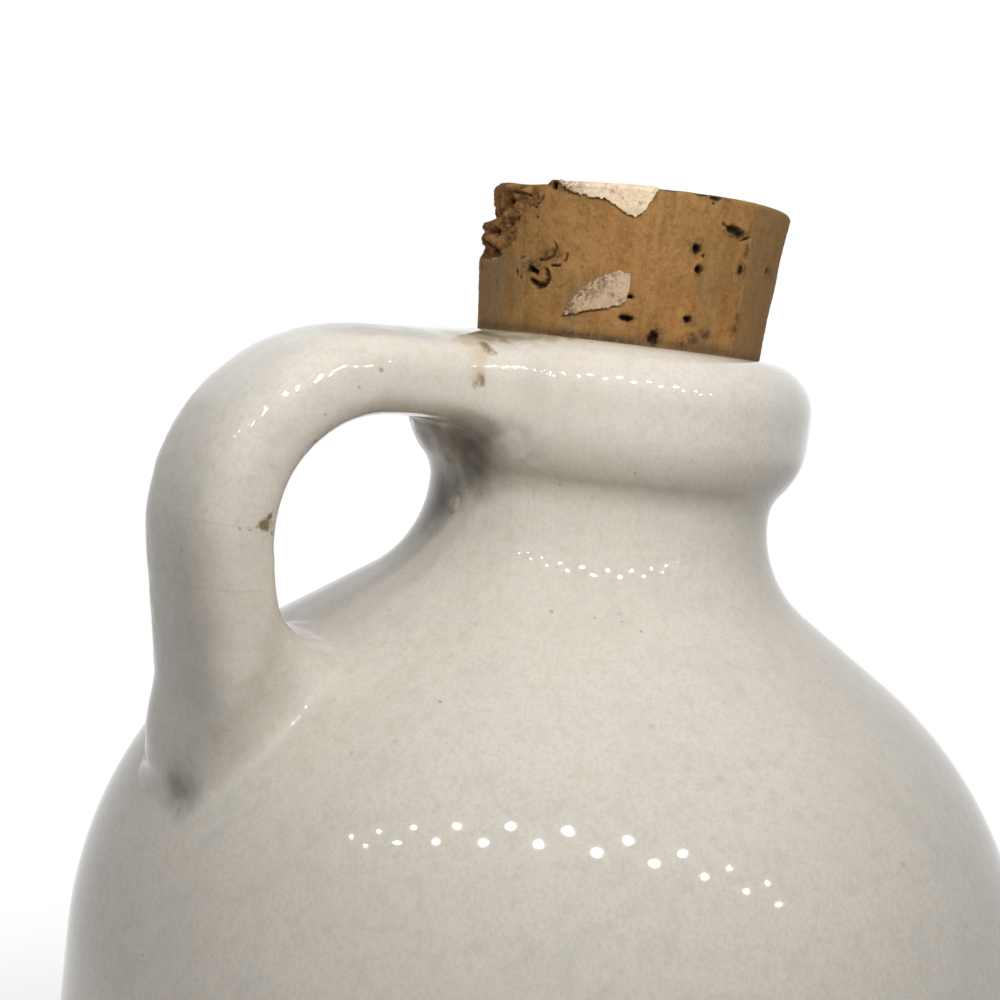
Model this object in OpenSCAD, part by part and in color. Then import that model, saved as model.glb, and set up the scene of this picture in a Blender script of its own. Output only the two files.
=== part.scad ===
// A small stoneware jug with a loop handle, stopped by a tapered natural cork.
// The foot's centre is the origin, +Z is up, and the handle stands on the -X side.

/* [Jug body] */
// Height of the jug from its foot to the top of its lip
jug_h = 160; // [150:1:200]
// Widest diameter of the body
body_d = 118; // [108:1:140]
// Thickness of the fired clay wall
wall = 6; // [4:0.5:8]
// Thickness of the floor
floor_t = 7; // [5:0.5:10]
// Radius of the shoulder's outward curve
shoulder_r = 45.5; // [38:1:52]
// Slope of the shoulder below the neck, in degrees from upright
shoulder_slope = 56.3; // [50:0.1:62]
// Radius of the hollow curve from the neck into the shoulder
flare_r = 14.4; // [11:0.1:18]
// Radius of the soft edge round the foot
foot_round = 3.5; // [2:0.5:6]
// Radius of the corner inside, between the floor and the wall
floor_round = 9; // [5:0.5:14]

/* [Neck and lip] */
// Thickness of the lip round the mouth
lip_wall = 6.9; // [6:0.1:8.5]
// Width of the flat land between the mouth and the lip's round edge
lip_land = 0.7; // [0.3:0.1:1.5]
// Height of the upright side of the lip
lip_side = 3.1; // [1:0.1:5]
// Radius of the round underside of the lip
lip_under_r = 9.8; // [7:0.1:12]
// How far the neck is drawn in from the lip
neck_in = 3.5; // [2:0.1:4.5]
// Radius of the hollow where the lip turns into the neck
neck_hollow_r = 5.1; // [3:0.1:8]

/* [Handle] */
// Width of the strap
handle_w = 18.5; // [14:0.5:22]
// Thickness of the strap
handle_t = 10; // [8:0.5:12]
// Radius of the bend, along the middle of the strap
bend_r = 17.2; // [14:0.1:18]
// How far the handle's outer face stays inside the widest part of the body
handle_inset = 1.5; // [1:0.1:5]
// How far the crown of the bend lies below the top of the lip
handle_drop = 1.3; // [0:0.1:3]
// How far the lower limb leans back towards the neck, in degrees
handle_lean = 10; // [6:1:16]
// Radius inside the loop where the limb meets the shoulder
base_fillet_r = 11; // [7:0.5:12]
// How much thicker the strap grows downwards where it is smeared on to the neck
root_deepening = 4; // [2:0.5:6]
// How much wider it grows there, both sides together
root_spread = 8; // [3:0.5:10]
// Length along the strap over which it grows
root_run = 9; // [6:0.5:11]
// How much wider the handle is where it is pressed on to the shoulder
base_spread = 3; // [0:0.5:5]
// Depth of the thumb mark at the handle's lower end
thumb_depth = 1.2; // [0.5:0.1:3]
// Diameter of the thumb that made the mark
thumb_d = 13; // [10:1:20]

/* [Cork] */
// Diameter of the cork's top
cork_d = 38.1; // [32:0.1:42]
// Length of the cork
cork_h = 38.1; // [34:0.1:44]
// How much narrower the cork's bottom is than its top
cork_narrowing = 6.3; // [3:0.1:7]
// Height of the cork that stands above the lip
cork_out = 17.3; // [12:0.1:22]
// How far the cork's top is cut out of square, in degrees
cork_slant = 1.6; // [0:0.1:3]
// Gap beside the cork in the mouth
cork_fit = 0.15; // [0.1:0.05:0.4]
// Worn edge round the cork's top and bottom
cork_edge = 0.5; // [0.3:0.1:1]
// Radius of the bite that is broken out of the cork's upper edge
bite_r = 7; // [5:0.5:9]
// Depth of the broken bite
bite_depth = 2; // [1:0.1:3]

/* [Paper scraps] */
// Thickness of the paper
paper_t = 0.3; // [0.2:0.05:0.5]
// Width of the scrap that is folded over the top edge
top_paper_w = 12; // [9:0.5:14]
// How far the top scrap hangs down the cork's side
top_paper_drop = 4; // [2:0.5:7]
// How far the top scrap lies on the cork's top
top_paper_lap = 5; // [3:0.5:9]
// Length of the leaf-shaped scrap on the cork's side
side_paper_w = 9; // [6:0.5:11]
// Height of the side scrap
side_paper_h = 4.6; // [3:0.1:6]
// Height of the side scrap's middle above the lip
side_paper_z = 5.4; // [4:0.1:8]

/* [Hidden] */
$fn = 96;
// Overrun of a cut past the face that it opens
over = 1;
// Degrees of arc from one point of an outline to the next
arc_step = 7;

// Squareness of the strap's outer and inner halves: 2 is an ellipse, more is nearer to a box
crown_square = 2.3;
palm_square = 3.2;
// Points in one ring of the strap, and rings along each flared end
ring_sides = 20;
flare_rings = 8;
// Share of the root's run that stands clear of the lip
root_share = 0.65;
// Shares of the lower limb's drop where its outer face starts to turn in, and where the turn lies
limb_share = 0.3;
tip_share = 0.75;
// Where the thumb mark lies along the flared lower end
thumb_share = 0.6;
// Heights of the bite's three scallops, as shares of the bite's radius
bite_shares = [0.5, 0.2, 0.45];
// Degrees from one scallop of the bite to the next
bite_turn = 18;
// Torn edge of the top scrap, as shares of its width and of its drop
top_torn_shares = [
    [0, 0], [0, 0.1], [0.15, 0.32], [0.32, 0.45], [0.47, 0.5], [0.6, 0.68],
    [0.69, 0.92], [0.79, 1], [0.88, 0.72], [0.95, 0.42], [1, 0.12], [1, 0]
];
// The same scrap's edge on the cork's top, as shares of its width and of its lap
top_lap_shares = [[0, 0], [0.1, 0.6], [0.35, 0.95], [0.6, 0.85], [0.8, 1], [0.95, 0.5], [1, 0]];
// Outline of the side scrap, as shares of its width and height
leaf_shares = [
    [0, 0], [0.27, 0.07], [0.49, 0.14], [0.7, 0.18], [0.91, 0.27], [0.97, 0.57],
    [1, 0.89], [0.84, 1], [0.63, 0.93], [0.41, 0.73], [0.2, 0.43]
];
// Directions round the axis of what sits on the cork, in degrees from +X
bite_a = 168;
slant_a = 320;
top_paper_a = 221;
side_paper_a = 217;

// The cork and the mouth that it seats in
cork_r = cork_d / 2;
cork_slope = cork_narrowing / 2 / cork_h;
cork_foot_r = cork_r - cork_narrowing / 2;
cork_foot_z = jug_h + cork_out - cork_h;
cork_top_z = jug_h + cork_out;
mouth_r = cork_r - cork_slope * cork_out + cork_fit;

// The lip and the neck, from the mouth outwards
lip_r = mouth_r + lip_wall;
lip_top_r = lip_wall - lip_land;
lip_turn_z = jug_h - lip_top_r - lip_side;
neck_r = lip_r - neck_in;
lip_c = [lip_r - lip_top_r, jug_h - lip_top_r];
under_c = [lip_r - lip_under_r, lip_turn_z];
hollow_dx = neck_r + neck_hollow_r - under_c[0];
hollow_reach = lip_under_r + neck_hollow_r;
under_a = acos(hollow_dx / hollow_reach);
hollow_c = under_c + hollow_reach * [cos(under_a), -sin(under_a)];
throat_r = mouth_r - cork_slope * (jug_h - hollow_c[1]);

// The shoulder, from the neck down to the upright wall
body_r = body_d / 2;
flare_c = [neck_r + flare_r, hollow_c[1]];
flare_x = flare_c[0] - flare_r * cos(shoulder_slope);
slope_share = 1 - cos(shoulder_slope);
shoulder_fit_r = min(shoulder_r, (body_r - flare_x) / slope_share);
slope_x = body_r - shoulder_fit_r * slope_share;
slope_z = flare_c[1] - flare_r * sin(shoulder_slope);
slope_foot_z = slope_z - (slope_x - flare_x) / tan(shoulder_slope);
shoulder_c = [body_r - shoulder_fit_r, slope_foot_z - shoulder_fit_r * sin(shoulder_slope)];

// The bend of the handle, in the handle's own plane: distance from the jug's axis, then height
handle_reach = body_r - handle_inset;
bend_in_r = bend_r - handle_t / 2;
bend_out_r = bend_r + handle_t / 2;
bend_c = [handle_reach - bend_out_r, jug_h - handle_drop - bend_out_r];
bend_in_top = bend_c + [0, bend_in_r];
bend_in_foot = bend_c + bend_in_r * [cos(handle_lean), -sin(handle_lean)];
bend_out_foot = bend_c + bend_out_r * [cos(handle_lean), -sin(handle_lean)];

// Where the strap starts to grow towards the lip
root_x = lip_r + root_run * root_share;

// The lower end of the handle, where it lands on the shoulder
base_in_x = bend_in_foot[0] - base_fillet_r;
base_in = [base_in_x, shoulder_z(base_in_x)];
base_room = bend_in_foot[1] - base_in[1];
base_fillet_h = min(base_fillet_r, base_room);
limb_drop = bend_out_foot[1] - shoulder_z(bend_out_foot[0]);
base_out_x = bend_out_foot[0] - limb_drop * tan(handle_lean);
base_out = [base_out_x, shoulder_z(base_out_x)];
flare_top = bend_out_foot - limb_drop * limb_share * [tan(handle_lean), 1];
flare_turn = bend_out_foot - limb_drop * tip_share * [tan(handle_lean), 1];
sink = wall / 2;

// Points on an arc about c, from angle a to angle b
function arc(c, r, a, b) =
    let (n = max(2, ceil(abs(b - a) / arc_step)))
    [for (i = [0 : n]) c + r * [cos(a + (b - a) * i / n), sin(a + (b - a) * i / n)]];

// Point at share t of a curve that leaves a towards b and arrives at c
function curve(a, b, c, t) = (1 - t) * (1 - t) * a + 2 * t * (1 - t) * b + t * t * c;

// Height of the shoulder's surface at distance x from the axis
function shoulder_z(x) =
    x > slope_x
        ? shoulder_c[1] + sqrt(max(0, pow(shoulder_fit_r, 2) - pow(x - shoulder_c[0], 2)))
        : slope_foot_z + (slope_x - x) / tan(shoulder_slope);

// Outline of the jug's outside, from the mouth's edge down to the foot
function outside() = concat(
    arc(lip_c, lip_top_r, 90, 0),
    arc(under_c, lip_under_r, 0, -under_a),
    arc(hollow_c, neck_hollow_r, 180 - under_a, 180),
    arc(flare_c, flare_r, 180, 180 + shoulder_slope),
    arc(shoulder_c, shoulder_fit_r, shoulder_slope, 0),
    arc([body_r - foot_round, foot_round], foot_round, 0, -90)
);

// Outline of the jug's inside, from the floor up to the mouth's edge
function inside() = concat(
    [[0, floor_t]],
    arc([body_r - wall - floor_round, floor_t + floor_round], floor_round, -90, 0),
    arc(shoulder_c, shoulder_fit_r - wall, 0, shoulder_slope),
    arc(flare_c, flare_r + neck_r - throat_r, 180 + shoulder_slope, 180),
    [[mouth_r, jug_h]]
);

// Signed power, for the superellipse of the strap's section
function shaped(v, square) = sign(v) * pow(abs(v), 2 / square);

// One ring of the strap from its inner to its outer edge, with its half width
function strap_ring(inner, outer, half_w) =
    let (middle = (inner + outer) / 2, half_t = (outer - inner) / 2)
    [for (k = [0 : ring_sides - 1])
        let (a = 360 * k / ring_sides,
            square = cos(a) > 0 ? crown_square : palm_square,
            p = middle + half_t * shaped(cos(a), square))
        [-p[0], half_w * shaped(sin(a), square), p[1]]];

// Rings where the strap leaves the lip and the neck under it
function root_rings() =
    [for (i = [0 : flare_rings])
        let (a = 90 - 90 * i / flare_rings,
            growth = 1 - cos(a),
            x = root_x - root_run * sin(a),
            drop = handle_drop * (x - lip_c[0]) / (bend_c[0] - lip_c[0]))
        strap_ring(
            [x, bend_in_top[1] - root_deepening * growth],
            [x, jug_h - drop],
            (handle_w + root_spread * growth) / 2)];

// Rings round the bend
function bend_rings() =
    let (n = ceil((90 + handle_lean) / arc_step))
    [for (i = [0 : n])
        let (a = 90 - (90 + handle_lean) * i / n, way = [cos(a), sin(a)])
        strap_ring(bend_c + bend_in_r * way, bend_c + bend_out_r * way, handle_w / 2)];

// Rings where the limb opens out on to the shoulder
function base_rings() =
    [for (i = [0 : flare_rings])
        let (t = i / flare_rings,
            inner = base_in + [base_fillet_r * cos(90 * t), base_fillet_h * (1 - sin(90 * t))],
            outer = curve(flare_top, flare_turn, base_out, t))
        strap_ring(inner, outer, handle_w / 2 + base_spread / 2 * t)];

// The whole strap, its ends buried in the clay of the lip and the shoulder
function handle_rings() =
    let (buried = sink * [-sin(shoulder_slope), -cos(shoulder_slope)],
        last = strap_ring(base_in + buried, base_out + buried, (handle_w + base_spread) / 2))
    concat(root_rings(), bend_rings(), base_rings(), [last]);

// The jug as if it were solid clay
module jug_mass() {
    rotate_extrude()
        polygon(concat([[0, 0], [0, jug_h]], outside()));
}

// A solid through a list of rings, closed at both ends
module loft(rings) {
    last = len(rings) - 1;
    sides = [for (i = [0 : last - 1], k = [0 : ring_sides - 1])
        let (a = i * ring_sides + k,
            b = i * ring_sides + (k + 1) % ring_sides)
        each [[a, b, a + ring_sides], [b, b + ring_sides, a + ring_sides]]];
    start_cap = [[for (k = [0 : ring_sides - 1]) ring_sides - 1 - k]];
    end_cap = [[for (k = [0 : ring_sides - 1]) last * ring_sides + k]];
    polyhedron([for (ring = rings) each ring], concat(sides, start_cap, end_cap));
}

// What is cut away above the cork's slanted top, raised by a skin
module above_cork(skin) {
    translate([0, 0, cork_top_z + skin])
        rotate([0, 0, slant_a])
            rotate([0, -cork_slant, 0])
                cylinder(h = cork_h, r = cork_d);
}

// The cork's blank before its edges were worn, grown all round by a skin
module cork_blank(skin) {
    rise = cork_r * tan(cork_slant) + skin;
    difference() {
        translate([0, 0, cork_foot_z])
            cylinder(h = cork_h + rise, r1 = cork_foot_r + skin, r2 = cork_r + cork_slope * rise + skin);
        above_cork(skin);
    }
}

// A skin of paper over the cork's top and side
module paper_skin() {
    difference() {
        cork_blank(paper_t);
        cork_blank(0);
    }
}

module jug_body() {
    color("linen")
        rotate_extrude()
            polygon(concat(inside(), outside(), [[0, 0]]));
}

module handle() {
    thumb = curve(flare_top, flare_turn, base_out, thumb_share);
    thumb_r = thumb_d / 2;
    color("antiquewhite")
        difference() {
            loft(handle_rings());
            jug_mass();
            translate([-thumb[0] - thumb_r + thumb_depth, 0, thumb[1]])
                sphere(r = thumb_r);
        }
}

module cork() {
    rise = cork_r * tan(cork_slant);
    color("peru")
        difference() {
            rotate_extrude()
                polygon([
                    [0, cork_foot_z],
                    [cork_foot_r - cork_edge, cork_foot_z],
                    [cork_foot_r + cork_slope * cork_edge, cork_foot_z + cork_edge],
                    [cork_r + cork_slope * rise, cork_top_z + rise],
                    [0, cork_top_z + rise]
                ]);
            above_cork(0);
            for (k = [0 : len(bite_shares) - 1])
                rotate([0, 0, bite_a + bite_turn * (k - 1)])
                    translate([cork_r + bite_r - bite_depth, 0, cork_top_z - bite_r * bite_shares[k]])
                        sphere(r = bite_r);
        }
}

module top_paper() {
    color("seashell")
        intersection() {
            paper_skin();
            rotate([0, 0, top_paper_a])
                union() {
                    translate([cork_r - cork_edge, -top_paper_w / 2, cork_top_z + paper_t])
                        rotate([90, 0, 90])
                            linear_extrude(cork_edge + paper_t + over)
                                polygon([for (s = top_torn_shares)
                                    [top_paper_w * s[0], -(top_paper_drop + paper_t) * s[1]]]);
                    translate([cork_r - cork_edge, -top_paper_w / 2, cork_top_z - over])
                        linear_extrude(paper_t + 2 * over)
                            polygon([for (s = top_lap_shares)
                                [-top_paper_lap * s[1], top_paper_w * s[0]]]);
                }
        }
}

module side_paper() {
    color("gainsboro")
        intersection() {
            paper_skin();
            rotate([0, 0, side_paper_a])
                translate([0, -side_paper_w / 2, jug_h + side_paper_z - side_paper_h / 2])
                    rotate([90, 0, 90])
                        linear_extrude(cork_d)
                            polygon([for (s = leaf_shares)
                                [side_paper_w * s[0], side_paper_h * s[1]]]);
        }
}

jug_body();
handle();
cork();
top_paper();
side_paper();
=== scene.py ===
"""A small stoneware jug with a loop handle, stopped by a worn natural cork.

The file is laid out as an add-on and run as a script: one operator makes each
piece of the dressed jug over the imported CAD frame, and one sets the stage.
Shapes are worked out in millimetres and written in metres.
"""

import math
from functools import reduce

import bpy
import numpy as np
from bpy.props import FloatProperty, FloatVectorProperty, IntProperty, PointerProperty
from mathutils import Matrix, Vector


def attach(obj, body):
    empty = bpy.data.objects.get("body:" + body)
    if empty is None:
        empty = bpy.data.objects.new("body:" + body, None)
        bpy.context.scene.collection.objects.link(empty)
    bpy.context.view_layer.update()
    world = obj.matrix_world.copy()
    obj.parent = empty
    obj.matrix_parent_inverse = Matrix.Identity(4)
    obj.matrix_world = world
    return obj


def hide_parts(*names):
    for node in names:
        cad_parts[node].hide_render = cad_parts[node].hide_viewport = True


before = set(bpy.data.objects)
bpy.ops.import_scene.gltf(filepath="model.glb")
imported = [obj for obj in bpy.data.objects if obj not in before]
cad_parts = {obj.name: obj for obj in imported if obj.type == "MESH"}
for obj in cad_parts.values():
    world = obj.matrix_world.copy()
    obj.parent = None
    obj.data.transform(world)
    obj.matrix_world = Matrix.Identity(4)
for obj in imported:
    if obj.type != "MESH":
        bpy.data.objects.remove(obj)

bl_info = {
    "name": "Stoneware Crock Jug",
    "version": (1, 0, 0),
    "blender": (4, 5, 0),
    "location": "View3D > Sidebar > Crock Jug",
    "description": "Glazed jug, pulled handle, worn cork and torn paper scraps over a CAD frame",
    "category": "Object",
}

MM = 0.001
FAR = 99.0
EVEN_SEAM = 1e-9

# The jug's sizes in millimetres, as in the part's source
LIP_Z = 160.0
BODY_R = 59.0
WALL = 6.0
FLOOR_T = 7.0
FOOT_ROUND = 3.5
FLOOR_ROUND = 9.0
SHOULDER_R = 45.5
SLOPE = math.radians(56.3)
FLARE_R = 14.4
CORK_R = 19.05
CORK_LENGTH = 38.1
CORK_OUT = 17.3
CORK_NARROWING = 6.3
CORK_TAPER = CORK_NARROWING / 2 / CORK_LENGTH
CORK_SLANT = math.tan(math.radians(1.6))
CORK_SLANT_TOWARDS = math.radians(320)
CORK_FIT = 0.15
MOUTH_R = CORK_R - CORK_TAPER * CORK_OUT + CORK_FIT
MOUTH_ROUND = 0.6
LIP_WALL = 6.9
LIP_R = MOUTH_R + LIP_WALL
LIP_TOP_R = 6.2
LIP_SIDE = 3.1
LIP_TURN_Z = LIP_Z - LIP_TOP_R - LIP_SIDE
LIP_UNDER_R = 9.8
NECK_IN = 3.5
NECK_R = LIP_R - NECK_IN
NECK_HOLLOW_R = 5.1
LIP_MIDDLE = np.array([0, 0, LIP_Z])
LOWEST_ASKED_Z = 40.0


# Outline of the jug: centres of its curves and ends of its slope, as radius and height

LIP_C = np.array([LIP_R - LIP_TOP_R, LIP_Z - LIP_TOP_R])
UNDER_C = np.array([LIP_R - LIP_UNDER_R, LIP_TURN_Z])
UNDER_A = math.acos((NECK_R + NECK_HOLLOW_R - UNDER_C[0]) / (LIP_UNDER_R + NECK_HOLLOW_R))
HOLLOW_C = UNDER_C + (LIP_UNDER_R + NECK_HOLLOW_R) * np.array([math.cos(UNDER_A), -math.sin(UNDER_A)])
FLARE_C = np.array([NECK_R + FLARE_R, HOLLOW_C[1]])
THROAT_R = MOUTH_R - CORK_TAPER * (LIP_Z - HOLLOW_C[1])
SLOPE_TOP = FLARE_C - FLARE_R * np.array([math.cos(SLOPE), math.sin(SLOPE)])
SLOPE_X = BODY_R - SHOULDER_R * (1 - math.cos(SLOPE))
SLOPE_FOOT = np.array([SLOPE_X, SLOPE_TOP[1] - (SLOPE_X - SLOPE_TOP[0]) / math.tan(SLOPE)])
SHOULDER_C = SLOPE_FOOT - SHOULDER_R * np.array([math.cos(SLOPE), math.sin(SLOPE)])


def arc(centre, radius, start, end, step):
    """Points on an arc, about step millimetres apart."""
    n = max(2, math.ceil(abs(end - start) * radius / step))
    turn = np.linspace(start, end, n + 1)
    return centre + radius * np.stack([np.cos(turn), np.sin(turn)], 1)


def line(a, b, step):
    """Points on a straight line, about step millimetres apart."""
    a, b = np.array(a, float), np.array(b, float)
    n = max(1, math.ceil(np.linalg.norm(b - a) / step))
    return a + (b - a) * np.linspace(0, 1, n + 1)[:, None]


def jug_outline():
    """The closed outline from the middle of the floor inside, over the lip, to the middle of the foot."""
    half = math.pi / 2
    inner_r = BODY_R - WALL
    throat = FLARE_C - np.array([FLARE_R + NECK_R - THROAT_R, 0])
    parts = [
        line([0, FLOOR_T], [inner_r - FLOOR_ROUND, FLOOR_T], 5),
        arc([inner_r - FLOOR_ROUND, FLOOR_T + FLOOR_ROUND], FLOOR_ROUND, -half, 0, 1.6),
        line([inner_r, FLOOR_T + FLOOR_ROUND], [inner_r, SHOULDER_C[1]], 6),
        arc(SHOULDER_C, SHOULDER_R - WALL, 0, SLOPE, 2),
        arc(FLARE_C, FLARE_R + NECK_R - THROAT_R, math.pi + SLOPE, math.pi, 1.5),
        line(throat, [MOUTH_R, LIP_Z - MOUTH_ROUND], 1.5),
        arc([MOUTH_R + MOUTH_ROUND, LIP_Z - MOUTH_ROUND], MOUTH_ROUND, math.pi, half, 0.2),
        arc(LIP_C, LIP_TOP_R, half, 0, 0.35),
        line([LIP_R, LIP_C[1]], [LIP_R, LIP_TURN_Z], 0.5),
        arc(UNDER_C, LIP_UNDER_R, 0, -UNDER_A, 0.4),
        arc(HOLLOW_C, NECK_HOLLOW_R, math.pi - UNDER_A, math.pi, 0.4),
        arc(FLARE_C, FLARE_R, math.pi, math.pi + SLOPE, 0.5),
        line(SLOPE_TOP, SLOPE_FOOT, 0.8),
        arc(SHOULDER_C, SHOULDER_R, SLOPE, 0, 0.9),
        line([BODY_R, SHOULDER_C[1]], [BODY_R, FOOT_ROUND], 3),
        arc([BODY_R - FOOT_ROUND, FOOT_ROUND], FOOT_ROUND, 0, -half, 0.5),
        line([BODY_R - FOOT_ROUND, 0], [0, 0], 4),
    ]
    points = np.concatenate(parts)
    apart = np.linalg.norm(np.diff(points, axis=0), axis=1) > 0.01
    return points[np.concatenate([[True], apart])]


def clay_distance(r, z):
    """Distance from the jug's outside, in its upper half: negative in the clay."""
    best = np.full(np.shape(r), FAR)
    curves = [
        (LIP_C, LIP_TOP_R, 0, math.pi / 2, 1),
        (UNDER_C, LIP_UNDER_R, -UNDER_A, 0, 1),
        (HOLLOW_C, NECK_HOLLOW_R, math.pi - UNDER_A, math.pi, -1),
        (FLARE_C, FLARE_R, -math.pi, SLOPE - math.pi, -1),
        (SHOULDER_C, SHOULDER_R, 0, SLOPE, 1),
    ]
    for centre, radius, low, high, side in curves:
        dx, dz = r - centre[0], z - centre[1]
        turn = np.arctan2(dz, dx)
        near = side * (np.hypot(dx, dz) - radius)
        inside = (turn >= low - EVEN_SEAM) & (turn <= high + EVEN_SEAM)
        best = np.where(inside & (np.abs(near) < np.abs(best)), near, best)
    straights = [
        (np.array([LIP_R, LIP_C[1]]), np.array([LIP_R, LIP_TURN_Z])),
        (SLOPE_TOP, SLOPE_FOOT),
        (np.array([BODY_R, SHOULDER_C[1]]), np.array([BODY_R, LOWEST_ASKED_Z])),
        (np.array([0, LIP_Z]), np.array([LIP_C[0], LIP_Z])),
    ]
    for a, b in straights:
        along = (b - a) / np.linalg.norm(b - a)
        t = (r - a[0]) * along[0] + (z - a[1]) * along[1]
        near = (z - a[1]) * along[0] - (r - a[0]) * along[1]
        inside = (t >= -EVEN_SEAM) & (t <= np.linalg.norm(b - a) + EVEN_SEAM)
        best = np.where(inside & (np.abs(near) < np.abs(best)), near, best)
    return best


def clay_slope(r, z, reach):
    """How fast the distance from the clay grows outwards and upwards."""
    out = clay_distance(r + reach, z) - clay_distance(r - reach, z)
    up = clay_distance(r, z + reach) - clay_distance(r, z - reach)
    return out / (2 * reach), up / (2 * reach)


# Noise and small helpers

CORNERS = [np.array([i & 1, i >> 1 & 1, i >> 2 & 1]) for i in range(8)]


def smooth(x, low, high):
    """0 below low, 1 above high, and an even rise between them."""
    t = np.clip((x - low) / (high - low), 0, 1)
    return t * t * (3 - 2 * t)


def value_noise(points, seed):
    """Smooth noise from 0 to 1 with features one unit across."""
    cell = np.floor(points).astype(np.int64)
    f = points - cell
    f = f * f * f * (f * (f * 6 - 15) + 10)
    total = 0.0
    for step in CORNERS:
        x, y, z = np.moveaxis(cell + step, -1, 0)
        h = (x * 374761393 + y * 668265263 + z * 1440670441 + seed * 974634777) & 0xFFFFFFFF
        h = ((h ^ (h >> 13)) * 1274126177) & 0xFFFFFFFF
        h = ((h ^ (h >> 16)) * 2246822519) & 0xFFFFFFFF
        weight = np.prod(np.where(step, f, 1 - f), axis=-1)
        total = total + weight * ((h ^ (h >> 15)) & 0xFFFFFF) / 0xFFFFFF
    return total


def fbm(points, octaves, seed):
    """Noise with finer noise laid over it, from 0 to 1."""
    total, weight, norm = 0.0, 1.0, 0.0
    for k in range(octaves):
        total = total + weight * value_noise(points * 2**k, seed + 31 * k)
        norm += weight
        weight *= 0.5
    return total / norm


def make_mesh(name, points_mm, faces, flat=False):
    """A mesh object at the origin from points in millimetres."""
    mesh = bpy.data.meshes.new(name)
    mesh.from_pydata((np.asarray(points_mm) * MM).tolist(), [], [list(map(int, f)) for f in faces])
    mesh.update()
    mesh.polygons.foreach_set("use_smooth", [not flat] * len(mesh.polygons))
    made = bpy.data.objects.new(name, mesh)
    bpy.context.scene.collection.objects.link(made)
    return made


def points_of(mesh):
    """The mesh's points, three numbers to a row."""
    co = np.zeros(len(mesh.vertices) * 3)
    mesh.vertices.foreach_get("co", co)
    return co.reshape(-1, 3)


def store(piece, name, values):
    """Keeps one number for each point of the piece, for its material to read."""
    attribute = piece.data.attributes.new(name, "FLOAT", "POINT")
    attribute.data.foreach_set("value", np.asarray(values, np.float32))


def grid_faces(rows, columns, closed):
    """Quads over rows and columns of points, joined round the columns if closed."""
    i = np.arange(rows - 1)[:, None]
    j = np.arange(columns if closed else columns - 1)[None, :]
    k = (j + 1) % columns
    quads = np.stack([i * columns + j, i * columns + k, (i + 1) * columns + k, (i + 1) * columns + j], -1)
    return quads.reshape(-1, 4)


# Node expressions

class Wire:
    """A node's socket that takes part in sums: arithmetic on it adds Math nodes."""

    def __init__(self, recipe, socket):
        self.recipe, self.socket = recipe, socket

    def __add__(self, other):
        return self.recipe.sum("ADD", self, other)

    def __sub__(self, other):
        return self.recipe.sum("SUBTRACT", self, other)

    def __rsub__(self, other):
        return self.recipe.sum("SUBTRACT", other, self)

    def __mul__(self, other):
        return self.recipe.sum("MULTIPLY", self, other)

    def __truediv__(self, other):
        return self.recipe.sum("DIVIDE", self, other)

    def __pow__(self, other):
        return self.recipe.sum("POWER", self, other)

    __radd__, __rmul__ = __add__, __mul__

    def most(self, other):
        return self.recipe.sum("MAXIMUM", self, other)

    def size(self):
        return self.recipe.sum("ABSOLUTE", self)

    def rise(self, low, high):
        """0 below low and 1 above high, or the other way about where high is the smaller."""
        inputs = {"Value": self, "From Min": low, "From Max": high}
        return self.recipe.node("ShaderNodeMapRange", {"interpolation_type": "SMOOTHSTEP"}, inputs)

    def also(self, output):
        """Another output of the same node."""
        return Wire(self.recipe, self.socket.node.outputs[output])


class Recipe:
    """A node tree, and the one method that adds any kind of node to it."""

    def __init__(self, tree):
        self.tree = tree
        tree.nodes.clear()

    def node(self, kind, settings=None, inputs=None, output=0):
        made = self.tree.nodes.new(kind)
        for key, value in (settings or {}).items():
            setattr(made, key, value)
        for key, value in (inputs or {}).items():
            if isinstance(value, Wire):
                self.tree.links.new(value.socket, made.inputs[key])
            else:
                made.inputs[key].default_value = value
        return Wire(self, made.outputs[output]) if made.outputs else None

    def sum(self, operation, *given):
        return self.node("ShaderNodeMath", {"operation": operation}, dict(enumerate(given)))

    def in_view(self):
        """1 for what the camera sees, straight, in a reflection or through glass, and 0 for other light."""
        seen = self.node("ShaderNodeLightPath", output="Is Camera Ray")
        for ray in ("Is Glossy Ray", "Is Transmission Ray"):
            seen = seen.most(self.node("ShaderNodeLightPath", output=ray))
        return seen


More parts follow.
